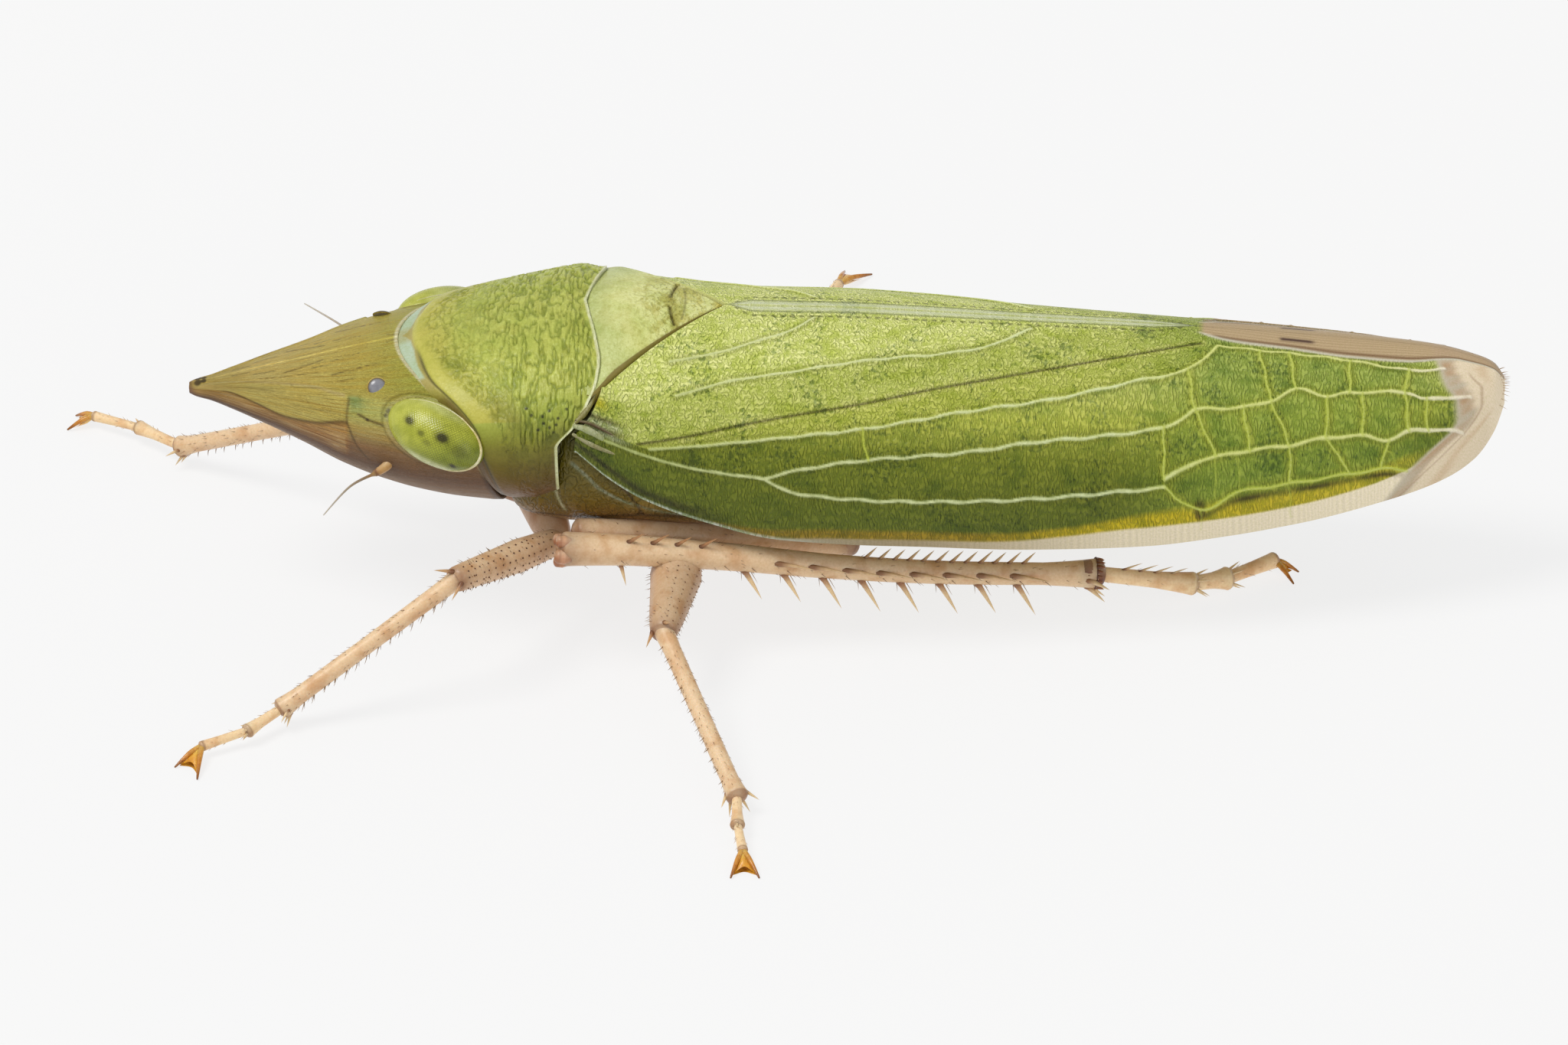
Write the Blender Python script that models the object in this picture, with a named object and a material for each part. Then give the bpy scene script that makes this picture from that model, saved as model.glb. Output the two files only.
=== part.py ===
# Draeculacephala leafhopper at rest on its six feet, life size.
# The head points to -X and the left side to -Y. The floor under the feet is z = 0.
# Lengths below are in millimetres, and stations run back along the body from the head's apex.
import math

import bmesh
import bpy
import numpy as np
from mathutils import Matrix, Vector, geometry

MM = 0.001
APEX = -4.035
GAP = 0.02

# Head: station, half width, top, widest level, underside
HEAD = (
    (0.00, 0.030, 1.575, 1.535, 1.495),
    (0.04, 0.060, 1.590, 1.535, 1.480),
    (0.15, 0.105, 1.612, 1.535, 1.458),
    (0.30, 0.180, 1.652, 1.535, 1.410),
    (0.50, 0.290, 1.708, 1.535, 1.340),
    (0.80, 0.455, 1.785, 1.530, 1.220),
    (1.07, 0.615, 1.860, 1.525, 1.100),
    (1.35, 0.730, 1.930, 1.515, 1.000),
    (1.60, 0.790, 1.985, 1.500, 0.930),
    (1.85, 0.830, 2.020, 1.500, 0.880),
    (2.10, 0.850, 2.050, 1.500, 0.850),
)
HEAD_BACK = 1.44
HEAD_BACK_BOW = 0.81
HEAD_LOW_REACH = 0.20
CROWN_POWER = 2.1
FACE_POWER = 2.2

EYE_AT = (1.720, 0.760, 1.640)
EYE_HALF = (0.360, 0.190, 0.225)
EYE_LONG = (0.80, 0.42, -0.22)
# Simple eye on the crown: station, degrees off the top
OCELLUS = (1.289, 37.6)
OCELLUS_RADIUS = 0.056
OCELLUS_SUNK = 0.020

# Pronotum with its side plates: station, half width, top, widest level, lower edge
PRONOTUM = (
    (1.40, 0.790, 1.960, 1.500, 1.000),
    (1.80, 0.865, 2.080, 1.560, 0.950),
    (2.10, 0.915, 2.155, 1.600, 0.950),
    (2.40, 0.960, 2.225, 1.620, 0.950),
    (2.70, 0.985, 2.280, 1.660, 0.950),
    (2.95, 0.985, 2.300, 1.670, 0.950),
)
PRONOTUM_POWER = 2.05
PRONOTUM_LOW_POWER = 2.6
HIND_SUNK = 0.035
COLLAR_LONG = 0.11
COLLAR_SUNK = 0.03
# Hind margin of the pronotum: distance from the midline, station
HIND_MARGIN = (
    (0.00, 2.747), (0.15, 2.775), (0.45, 2.835), (0.62, 2.860),
    (0.75, 2.845), (0.88, 2.780), (0.99, 2.650),
)
SIDE_BACK = 2.570

# Thorax under the pronotum and the wing bases
THORAX = (
    (2.20, 0.560, 1.350, 1.150, 0.900),
    (2.26, 0.700, 1.450, 1.180, 0.830),
    (2.36, 0.780, 1.700, 1.230, 0.775),
    (2.50, 0.820, 1.900, 1.270, 0.745),
    (2.65, 0.870, 2.050, 1.300, 0.730),
    (2.90, 0.880, 2.090, 1.300, 0.720),
    (3.30, 0.875, 2.060, 1.250, 0.720),
    (3.80, 0.860, 1.900, 1.150, 0.740),
)
# Abdomen under the wings
ABDOMEN = (
    (3.78, 0.800, 1.780, 1.100, 0.700),
    (4.50, 0.820, 1.740, 1.060, 0.640),
    (5.30, 0.790, 1.680, 1.020, 0.610),
    (5.80, 0.740, 1.640, 1.000, 0.620),
    (6.30, 0.650, 1.580, 1.000, 0.650),
    (6.90, 0.500, 1.470, 1.010, 0.720),
    (7.40, 0.330, 1.340, 1.030, 0.800),
    (7.75, 0.130, 1.200, 1.080, 0.960),
)

SCUTELLUM_FRONT = 2.800
SCUTELLUM_TIP = 3.680
SCUTELLUM_HALF = 0.800
SCUTELLUM_THICK = 0.110
SCUTELLUM_RADIUS = 1.30
SCUTELLUM_TUCK = 0.035

# Wings as a roof: station, ridge height, half width, height of the costal edge, roundness
WING = (
    (2.70, 2.290, 0.985, 1.640, 2.05),
    (2.93, 2.275, 0.995, 1.420, 2.05),
    (3.16, 2.255, 1.000, 1.260, 2.05),
    (3.60, 2.220, 1.000, 1.070, 2.00),
    (4.04, 2.200, 1.005, 0.945, 2.00),
    (4.50, 2.190, 1.000, 0.900, 1.98),
    (5.05, 2.160, 0.970, 0.860, 1.95),
    (5.80, 2.110, 0.890, 0.785, 1.88),
    (6.60, 2.060, 0.790, 0.750, 1.82),
    (7.10, 2.020, 0.730, 0.785, 1.80),
    (7.62, 1.975, 0.620, 0.824, 1.80),
    (8.15, 1.920, 0.510, 0.915, 1.80),
    (8.58, 1.860, 0.390, 1.017, 1.85),
    (8.82, 1.790, 0.290, 1.135, 1.90),
    (8.96, 1.720, 0.190, 1.300, 2.00),
    (9.05, 1.580, 0.040, 1.500, 2.00),
)
WING_TIP = 9.05
WING_THICK = 0.090
WING_EDGE = 0.045

BEAK = ((2.00, 0.0, 0.840), (2.25, 0.0, 0.690), (2.50, 0.0, 0.610))
BEAK_RADII = (0.110, 0.085, 0.040)

# Antennae: base joints, then the bristle, for the left and the right side
ANTENNA = {
    "L": ((1.44, -0.58, 1.400), (1.37, -0.66, 1.345), (1.305, -0.73, 1.305),
          (1.14, -0.97, 1.350), (0.975, -1.30, 1.334)),
    "R": ((1.44, 0.58, 1.400), (1.37, 0.66, 1.345), (1.305, 0.73, 1.305),
          (1.00, 1.09, 1.330), (0.727, 1.30, 1.383)),
}
ANTENNA_RADII = (0.060, 0.055, 0.040, 0.022, 0.012)

# Legs: every joint from the coxa's root to the claws
COXA_ROOT = {
    "fore_L": (2.38, -0.30, 0.860), "fore_R": (2.34, 0.30, 0.860),
    "mid_L": (3.16, -0.30, 0.860), "mid_R": (3.16, 0.30, 0.860),
    "hind_L": (3.56, -0.30, 0.860), "hind_R": (3.56, 0.30, 0.860),
}
TROCHANTER = {
    "fore_L": (2.54, -0.70, 0.735), "fore_R": (1.99, 0.44, 0.700),
    "mid_L": (3.40, -0.62, 0.680), "mid_R": (3.42, 0.62, 0.680),
    "hind_L": (4.54, -0.36, 0.500), "hind_R": (4.54, 0.36, 0.500),
}
KNEE = {
    "fore_L": (1.89, -1.51, 0.950), "fore_R": (0.90, 0.74, 0.800),
    "mid_L": (3.30, -1.64, 0.610), "mid_R": (3.38, 1.64, 0.610),
    "hind_L": (2.70, -0.89, 0.935), "hind_R": (2.70, 0.89, 0.935),
}
HIND_TIBIA_START = {"hind_L": (2.62, -1.095, 0.925), "hind_R": (2.62, 1.095, 0.925)}
TIBIA_END = {
    "fore_L": (0.69, -1.92, 0.165), "fore_R": (-0.165, 1.38, 0.160),
    "mid_L": (3.84, -3.00, 0.160), "mid_R": (4.10, 3.00, 0.160),
    "hind_L": (6.22, -0.545, 0.365), "hind_R": (6.12, 0.76, 0.365),
}
# Sag of the hind tibia: share of its length, height
HIND_SAG = ((0.0, 0.0), (0.15, 0.012), (0.35, -0.010), (0.60, -0.055), (0.85, -0.030), (1.0, 0.0))
TARSUS = {
    "fore_L": ((0.46, -2.13, 0.115), (0.15, -2.28, 0.085)),
    "fore_R": ((-0.47, 1.67, 0.125), (-0.79, 1.87, 0.090)),
    "mid_L": ((3.855, -3.29, 0.110), (3.90, -3.56, 0.080)),
    "mid_R": ((4.19, 3.29, 0.110), (4.30, 3.58, 0.080)),
    "hind_L": ((6.87, -0.37, 0.170), (7.10, -0.23, 0.120), (7.42, 0.03, 0.100)),
    "hind_R": ((6.78, 0.80, 0.165), (7.00, 0.82, 0.115), (7.28, 0.84, 0.090)),
}
CLAW_TIPS = {
    "fore_L": ((-0.03, -2.43, 0.0), (0.13, -2.58, 0.0)),
    "fore_R": ((-0.98, 1.82, 0.0), (-0.93, 2.00, 0.0)),
    "mid_L": ((3.825, -3.80, 0.0), (4.02, -3.80, 0.0)),
    "mid_R": ((4.33, 3.85, 0.0), (4.52, 3.81, 0.0)),
    "hind_L": ((7.59, 0.02, 0.0), (7.56, -0.13, 0.0)),
    "hind_R": ((7.46, 0.78, 0.0), (7.46, 0.94, 0.0)),
}
COXA_RADIUS = {"fore": 0.150, "mid": 0.170, "hind": 0.190}
TROCHANTER_RADIUS = {"fore": 0.100, "mid": 0.130, "hind": 0.100}
FEMUR_RADIUS = {"fore": 0.116, "mid": 0.178, "hind": 0.125}
KNEE_RADIUS = {"fore": 0.090, "mid": 0.095, "hind": 0.090}
# Radii of a tibia at its start, 12, 50, 90 and 100 per cent of its length
TIBIA_SHARES = (0.0, 0.12, 0.50, 0.90, 1.0)
TIBIA_RADII = {
    "fore": (0.068, 0.062, 0.058, 0.060, 0.076),
    "mid": (0.072, 0.062, 0.060, 0.062, 0.080),
    "hind": (0.120, 0.106, 0.085, 0.078, 0.106),
}
TARSUS_RADIUS = {"fore": 0.044, "mid": 0.044, "hind": 0.056}
PAD_HALF = (0.060, 0.060, 0.040)

# Spine rows of the hind tibia: first and last share of its length, count,
# then way (back, outward, up), length and base radius
HIND_ROWS = (
    ((0.104, 0.104), 1, (0.30, 0.45, -0.80), 0.14, 0.016),
    ((0.337, 0.851), 8, (0.60, 0.45, -0.70), 0.23, 0.021),
    ((0.400, 0.845), 8, (0.95, 0.30, 0.10), 0.24, 0.017),
    ((0.113, 0.250), 4, (0.62, 0.35, 0.80), 0.16, 0.015),
    ((0.560, 0.860), 12, (0.60, -0.10, 0.80), 0.13, 0.013),
    ((0.330, 0.860), 7, (0.62, -0.70, -0.34), 0.20, 0.020),
)
COMB_WAYS = (
    (0.80, 0.30, -0.52), (0.86, 0.0, -0.50), (0.80, -0.35, -0.48), (0.80, 0.60, 0.0), (0.80, -0.60, 0.0),
)
COMB_LONG = {"fore": 0.10, "mid": 0.12, "hind": 0.16}
COMB_RADIUS = {"fore": 0.013, "mid": 0.014, "hind": 0.020}
# Spurs of the fore and mid knees: along the shin, outward, up
KNEE_SPURS = ((0.63, 0.0, 0.77), (0.80, 0.60, 0.0))
SPUR_LONG = 0.13
SPUR_RADIUS = 0.014

# Veins of the left wing: station, then share of the way from ridge to costal edge
VEINS = {
    "inner_claval": ((3.34, 0.350), (3.66, 0.289), (3.96, 0.214), (4.18, 0.152), (4.31, 0.085)),
    "outer_claval": ((3.38, 0.500), (3.74, 0.412), (4.12, 0.362), (4.78, 0.291), (5.25, 0.252),
                     (5.58, 0.193), (5.80, 0.100)),
    "media": ((3.20, 0.755), (3.60, 0.678), (4.04, 0.620), (4.65, 0.570), (5.33, 0.495), (5.97, 0.435),
              (6.51, 0.360), (6.88, 0.300), (7.08, 0.165)),
    "stem": ((2.90, 0.800), (3.30, 0.788), (3.98, 0.770)),
    "cubital": ((3.98, 0.770), (4.22, 0.728), (4.69, 0.680), (5.30, 0.645), (5.84, 0.596), (6.34, 0.569),
                (6.71, 0.540), (6.92, 0.472)),
    "radial": ((3.98, 0.770), (4.18, 0.812), (4.63, 0.825), (5.20, 0.820), (5.90, 0.795), (6.71, 0.762)),
    "first_apical": ((7.08, 0.165), (7.36, 0.185), (7.57, 0.197), (7.98, 0.231), (8.38, 0.285),
                     (8.62, 0.265)),
    "second_apical": ((6.92, 0.472), (7.25, 0.467), (7.44, 0.445), (7.61, 0.395), (7.83, 0.434),
                      (7.98, 0.421), (8.36, 0.431), (8.50, 0.481), (8.80, 0.500)),
    "third_apical": ((6.71, 0.735), (6.92, 0.677), (7.07, 0.660), (7.30, 0.645), (7.57, 0.640),
                     (7.82, 0.625), (8.07, 0.636), (8.24, 0.672), (8.38, 0.649), (8.51, 0.658),
                     (8.74, 0.740)),
    "fourth_apical": ((6.71, 0.762), (6.95, 0.858), (7.22, 0.806), (7.57, 0.800), (7.98, 0.803),
                      (8.19, 0.810), (8.36, 0.850)),
    "cross_01": ((4.65, 0.570), (4.69, 0.680)), "cross_02": ((6.88, 0.300), (6.92, 0.472)),
    "cross_03": ((7.36, 0.185), (7.44, 0.445)), "cross_04": ((7.57, 0.197), (7.61, 0.395)),
    "cross_05": ((7.98, 0.231), (7.98, 0.421)), "cross_06": ((8.38, 0.285), (8.36, 0.431)),
    "cross_07": ((6.71, 0.540), (6.71, 0.735)), "cross_08": ((6.92, 0.472), (7.07, 0.660)),
    "cross_09": ((7.25, 0.467), (7.30, 0.645)), "cross_10": ((7.44, 0.445), (7.57, 0.640)),
    "cross_11": ((7.83, 0.434), (7.82, 0.625)), "cross_12": ((8.07, 0.424), (8.07, 0.636)),
    "cross_13": ((8.36, 0.431), (8.38, 0.649)), "cross_14": ((8.50, 0.481), (8.51, 0.658)),
    "cross_15": ((7.07, 0.660), (7.22, 0.806)), "cross_16": ((7.57, 0.640), (7.57, 0.800)),
    "cross_17": ((7.82, 0.625), (7.98, 0.803)), "cross_18": ((8.24, 0.672), (8.19, 0.810)),
}
VEIN_HALF = 0.030
VEIN_TALL = 0.024
VEIN_STEP = 0.26

GREEN = (0.30, 0.52, 0.07)
OLIVE = (0.38, 0.40, 0.08)
YELLOW = (0.62, 0.62, 0.14)
WING_GREEN = (0.13, 0.33, 0.04)
TAN = (0.60, 0.42, 0.28)
BROWN = (0.30, 0.19, 0.12)
AMBER = (0.55, 0.28, 0.07)
LADDERS = {}
ARCS = {}


def clear_scene():
    for old in list(bpy.data.objects):
        bpy.data.objects.remove(old, do_unlink=True)


def metres(point):
    return Vector(((point[0] + APEX) * MM, point[1] * MM, point[2] * MM))


def slopes(xs, ys):
    """Tangents of a curve that never overshoots its knots."""
    step = np.diff(xs)
    rise = np.diff(ys) / step
    slope = np.zeros_like(ys)
    slope[0], slope[-1] = rise[0], rise[-1]
    for k in range(1, len(ys) - 1):
        if rise[k - 1] * rise[k] > 0:
            a, b = 2 * step[k] + step[k - 1], step[k] + 2 * step[k - 1]
            slope[k] = (a + b) / (a / rise[k - 1] + b / rise[k])
    return slope


def fit(knots, x, column=1):
    """Smooth curve through the knots, read from a fine ladder that is made once."""
    key = (knots, column)
    if key not in LADDERS:
        xs = np.array([k[0] for k in knots], float)
        ys = np.array([k[column] for k in knots], float)
        slope = slopes(xs, ys)
        rungs = np.linspace(xs[0], xs[-1], 3000)
        k = np.clip(np.searchsorted(xs, rungs, side="right") - 1, 0, len(xs) - 2)
        h = xs[k + 1] - xs[k]
        t = (rungs - xs[k]) / h
        low = (2 * t**3 - 3 * t**2 + 1) * ys[k] + (t**3 - 2 * t**2 + t) * h * slope[k]
        high = (3 * t**2 - 2 * t**3) * ys[k + 1] + (t**3 - t**2) * h * slope[k + 1]
        LADDERS[key] = (rungs, low + high)
    return np.interp(x, *LADDERS[key])


def smoothstep(low, high, x):
    t = np.clip((x - low) / (high - low), 0.0, 1.0)
    return t * t * (3 - 2 * t)


def paint(obj, name, colour, rough):
    skin = bpy.data.materials.new(name)
    skin.use_nodes = True
    shader = skin.node_tree.nodes["Principled BSDF"]
    shader.inputs["Base Color"].default_value = (*colour, 1)
    shader.inputs["Roughness"].default_value = rough
    skin.diffuse_color = (*colour, 1)
    obj.data.materials.clear()
    obj.data.materials.append(skin)


def link_mesh(name, bm, colour, rough, sharp=50):
    bmesh.ops.recalc_face_normals(bm, faces=bm.faces)
    if bm.calc_volume(signed=True) < 0:
        bmesh.ops.reverse_faces(bm, faces=bm.faces)
    mesh = bpy.data.meshes.new(name)
    bm.to_mesh(mesh)
    bm.free()
    obj = bpy.data.objects.new(name, mesh)
    bpy.context.collection.objects.link(obj)
    mesh.shade_smooth()
    mesh.set_sharp_from_angle(angle=math.radians(sharp))
    paint(obj, name, colour, rough)
    return obj


def skin_rows(bm, rows, close=True):
    """Faces between rows of points, each row a ring where close is set."""
    made = [[bm.verts.new(metres(p)) for p in row] for row in rows]
    for a, b in zip(made, made[1:]):
        n = len(a)
        for k in range(n if close else n - 1):
            j = (k + 1) % n
            bm.faces.new((a[k], a[j], b[j], b[k]))
    return made


def cap(bm, ring, centre=None):
    """Fan over the end of a loft."""
    if centre is None:
        middle = sum((v.co for v in ring), Vector()) / len(ring)
    else:
        middle = metres(centre)
    tip = bm.verts.new(middle)
    n = len(ring)
    for k in range(n):
        bm.faces.new((ring[k], ring[(k + 1) % n], tip))


def loft(rows, front=None, back=None):
    bm = bmesh.new()
    made = skin_rows(bm, rows)
    cap(bm, made[0], front)
    cap(bm, made[-1], back)
    return bm


def section(table, station, angle, power_top, power_low, grow=0.0):
    """Point of a rounded section whose upper and lower halves differ."""
    half = fit(table, station, 1) + grow
    top = fit(table, station, 2) + grow
    middle = fit(table, station, 3)
    low = fit(table, station, 4) - grow
    c, s = math.cos(angle), math.sin(angle)
    power = power_top if s >= 0 else power_low
    height = top - middle if s >= 0 else middle - low
    y = half * math.copysign(abs(c) ** (2 / power), c)
    z = middle + height * math.copysign(abs(s) ** (2 / power), s)
    return float(y), float(z)


def angles(count):
    return [2 * math.pi * (k + 0.5) / count for k in range(count)]


def straight_loft(table, stations, count, power_top, power_low, grow=0.0):
    rows = []
    for station in stations:
        ring = []
        for angle in angles(count):
            y, z = section(table, station, angle, power_top, power_low, grow)
            ring.append((station, y, z))
        rows.append(ring)
    return rows


def head_back(angle):
    """Station where the head ends, a forward bow over the crown."""
    if math.sin(angle) < 0:
        return HEAD_BACK + HEAD_BACK_BOW * 0.83**2 + HEAD_LOW_REACH * abs(math.sin(angle)) ** 0.7
    station = 1.8
    for _ in range(12):
        y, _z = section(HEAD, station, angle, CROWN_POWER, FACE_POWER)
        station = HEAD_BACK + HEAD_BACK_BOW * min(abs(y), 0.83) ** 2
    return station


def build_head():
    steps = [0, 0.012, 0.03, 0.055, 0.09, 0.13, 0.18, 0.24, 0.31, 0.38, 0.46, 0.54, 0.62, 0.70, 0.78,
             0.85, 0.92, 1]
    rows = []
    for step in steps:
        ring = []
        for angle in angles(32):
            station = step * head_back(angle)
            y, z = section(HEAD, station, angle, CROWN_POWER, FACE_POWER)
            ring.append((station, y, z))
        rows.append(ring)
    return link_mesh("head", loft(rows, back=(1.90, 0.0, 1.45)), YELLOW, 0.35)


def eye_matrix(side, grow=0.0):
    centre = metres((EYE_AT[0], side * EYE_AT[1], EYE_AT[2]))
    along = Vector((EYE_LONG[0], side * EYE_LONG[1], EYE_LONG[2])).normalized()
    out = Vector((-0.10, side * 0.85, 0.35))
    out = (out - along * out.dot(along)).normalized()
    up = along.cross(out)
    turn = Matrix((along, out, up)).transposed().to_4x4()
    size = Matrix.Diagonal([(h + grow) * MM for h in EYE_HALF] + [1.0])
    return Matrix.Translation(centre) @ turn @ size


def ball(matrix, around=28, down=16):
    bm = bmesh.new()
    bmesh.ops.create_uvsphere(bm, u_segments=around, v_segments=down, radius=1.0)
    bm.transform(matrix)
    return bm


def cut(target, cutter_mesh, operation="DIFFERENCE"):
    """Applied Boolean with a throwaway tool mesh."""
    tool = link_mesh(target.name + "_tool", cutter_mesh, BROWN, 0.5)
    change = target.modifiers.new("cut", "BOOLEAN")
    change.operation = operation
    change.solver = "EXACT"
    change.object = tool
    bpy.context.view_layer.update()
    graph = bpy.context.evaluated_depsgraph_get()
    mesh = bpy.data.meshes.new_from_object(target.evaluated_get(graph))
    target.modifiers.clear()
    target.data = mesh
    bpy.data.objects.remove(tool, do_unlink=True)
    keep_largest(target)


def keep_largest(obj):
    """Drops slivers and keeps the largest closed surface."""
    bm = bmesh.new()
    bm.from_mesh(obj.data)
    seen, groups = set(), []
    for start in bm.verts:
        if start in seen:
            continue
        seen.add(start)
        group, stack = [], [start]
        while stack:
            v = stack.pop()
            group.append(v)
            for edge in v.link_edges:
                w = edge.other_vert(v)
                if w not in seen:
                    seen.add(w)
                    stack.append(w)
        groups.append(group)
    groups.sort(key=len, reverse=True)
    loose = [v for group in groups[1:] for v in group]
    if loose:
        bmesh.ops.delete(bm, geom=loose, context="VERTS")
    bm.to_mesh(obj.data)
    bm.free()


def build_eyes(head):
    for name, side in (("eye_L", -1), ("eye_R", 1)):
        link_mesh(name, ball(eye_matrix(side), 24, 12), YELLOW, 0.15)
        cut(head, ball(eye_matrix(side, GAP * 0.6), 24, 12))


def build_ocelli(head):
    """The two simple eyes, low domes on the crown."""
    domes = []
    for side in (-1, 1):
        angle = math.radians(90 - side * OCELLUS[1])
        y, z = section(HEAD, OCELLUS[0], angle, CROWN_POWER, FACE_POWER)
        spot = Vector((OCELLUS[0], y, z))
        down = (Vector((OCELLUS[0], 0.0, 1.45)) - spot).normalized()
        size = OCELLUS_RADIUS * MM
        place = Matrix.Translation(metres(spot + down * OCELLUS_SUNK))
        domes.append(ball(place @ Matrix.Diagonal((size, size, size, 1.0)), 10, 6))
    fuse(head, domes)


def pronotum_ends(angle, grow):
    front = head_back(angle) + GAP - grow
    if math.sin(angle) < 0:
        return front, SIDE_BACK + grow
    station = 2.8
    for _ in range(12):
        y, _z = section(PRONOTUM, station, angle, PRONOTUM_POWER, PRONOTUM_LOW_POWER)
        station = float(fit(HIND_MARGIN, abs(y)))
    blend = float(smoothstep(0.0, 0.25, math.sin(angle)))
    return front, SIDE_BACK + (station - SIDE_BACK) * blend + grow


def pronotum_rows(count, steps, grow=0.0):
    rows = []
    for step in steps:
        ring = []
        for angle in angles(count):
            front, back = pronotum_ends(angle, grow)
            if step < 2:
                station = front + (COLLAR_LONG + 0.02) * step / 2
            else:
                start = front + COLLAR_LONG + 0.02
                station = start + (back - start) * (step - 2) / 12
            sunk = COLLAR_SUNK * (1 - float(smoothstep(0.07, 0.13, station - front)))
            sunk += HIND_SUNK * (1 - float(smoothstep(0.0, 0.18, back - station)))
            y, z = section(PRONOTUM, station, angle, PRONOTUM_POWER, PRONOTUM_LOW_POWER, grow - sunk)
            ring.append((station, y, z))
        rows.append(ring)
    return rows


def build_pronotum():
    rows = pronotum_rows(40, [0, 0.9, 1.4, 2, 3, 4.5, 6, 7.5, 9, 10.5, 12, 13, 14])
    return link_mesh("pronotum", loft(rows, (1.90 + GAP, 0.0, 1.45), (2.60, 0.0, 1.60)), GREEN, 0.40)


def build_thorax():
    stations = [2.20, 2.26, 2.36, 2.5, 2.65, 2.85, 3.05, 3.25, 3.45, 3.62, 3.76]
    rows = straight_loft(THORAX, stations, 30, 2.3, 2.4)
    thorax = link_mesh("thorax", loft(rows), OLIVE, 0.45)
    steps = [0, 2, 5, 8, 11, 14]
    cut(thorax, loft(pronotum_rows(40, steps, GAP), (1.90, 0.0, 1.45), (2.60 + GAP, 0.0, 1.60)))
    return thorax


def build_abdomen():
    stations = [3.78, 4.1, 4.5, 4.9, 5.3, 5.8, 6.3, 6.75, 7.1, 7.4, 7.6, 7.75]
    rows = straight_loft(ABDOMEN, stations, 26, 2.1, 2.8)
    return link_mesh("abdomen", loft(rows), OLIVE, 0.45)


def roof(station, turn):
    """Point of the closed wings, from the ridge at 0 to the costal edge at 1."""
    ridge, half = fit(WING, station, 1), fit(WING, station, 2)
    edge, power = fit(WING, station, 3), fit(WING, station, 4)
    angle = turn * math.pi / 2
    y = half * math.sin(angle) ** (2 / power)
    z = edge + (ridge - edge) * math.cos(angle) ** (2 / power) if turn < 1 else edge
    return float(y), float(z)


def scutellum_half(station):
    reach = (SCUTELLUM_TIP - station) / (SCUTELLUM_TIP - SCUTELLUM_FRONT)
    return SCUTELLUM_HALF * max(reach, 0.0)


def build_scutellum():
    rows_top, rows_low = [], []
    stations = [2.68, 2.80, 2.89, 2.98, 3.1, 3.22, 3.34, 3.46, 3.56, 3.62, 3.67]
    for station in stations:
        half = scutellum_half(max(station, SCUTELLUM_FRONT))
        top, low = [], []
        for k in range(11):
            y = half * (2 * k / 10 - 1)
            ridge = float(fit(WING, station, 1)) - 0.005
            tuck = SCUTELLUM_TUCK * (1 - float(smoothstep(2.80, 2.98, station)))
            z = ridge - tuck - y * y / (2 * SCUTELLUM_RADIUS)
            top.append((station, y, z))
            low.append((station, y * 0.96, z - SCUTELLUM_THICK))
        rows_top.append(top)
        rows_low.append(low)
    bm = bmesh.new()
    tops = skin_rows(bm, rows_top, close=False)
    lows = skin_rows(bm, rows_low, close=False)
    join_edges(bm, tops, lows)
    plate = link_mesh("scutellum", bm, YELLOW, 0.4, 40)
    steps = [0, 2, 5, 8, 11, 14]
    cut(plate, loft(pronotum_rows(40, steps, GAP), (1.90, 0.0, 1.45), (2.60 + GAP, 0.0, 1.60)))
    return plate


def join_edges(bm, outer, inner):
    """Closes the rim between two matching sheets."""
    def rim(sheet):
        loop = list(sheet[0]) + [row[-1] for row in sheet[1:-1]]
        return loop + list(reversed(sheet[-1])) + [row[0] for row in reversed(sheet[1:-1])]
    a, b = rim(outer), rim(inner)
    for k in range(len(a)):
        j = (k + 1) % len(a)
        bm.faces.new((a[k], a[j], b[j], b[k]))


def wing_front(turn):
    """Station where the wing starts: along the scutellum, then under the pronotum."""
    station = 3.2
    for _ in range(14):
        y, _z = roof(station, turn)
        if y < 0.74:
            aim = SCUTELLUM_TIP + 0.03 - (SCUTELLUM_TIP - SCUTELLUM_FRONT) * y / SCUTELLUM_HALF
        else:
            aim = float(fit(HIND_MARGIN, min(y, 0.99))) + GAP + 0.01
        station = 0.5 * station + 0.5 * aim
    return station


def arc_length(station):
    """Length of the roof's section from the ridge to the costal edge."""
    key = round(station, 3)
    if key not in ARCS:
        spots = [roof(station, k / 24) for k in range(25)]
        ARCS[key] = sum(math.dist(a, b) for a, b in zip(spots, spots[1:]))
    return ARCS[key]


def flat_place(station, turn):
    """The wing laid flat: station against length along the section."""
    return Vector((station, turn * arc_length(station)))


def rounded_line(knots, step):
    """Smooth line through knots, with points no further apart than the step."""
    pts = [flat_place(*k) for k in knots]
    line = []
    for k in range(len(pts) - 1):
        p0, p1, p2 = pts[max(k - 1, 0)], pts[k], pts[k + 1]
        p3 = pts[min(k + 2, len(pts) - 1)]
        count = max(1, math.ceil((p2 - p1).length / step))
        for j in range(count):
            t = j / count
            a = 2 * p1 + (p2 - p0) * t
            b = (2 * p0 - 5 * p1 + 4 * p2 - p3) * t * t
            line.append((a + b + (3 * p1 - p0 - 3 * p2 + p3) * t**3) / 2)
    return line + [pts[-1]]


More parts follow.
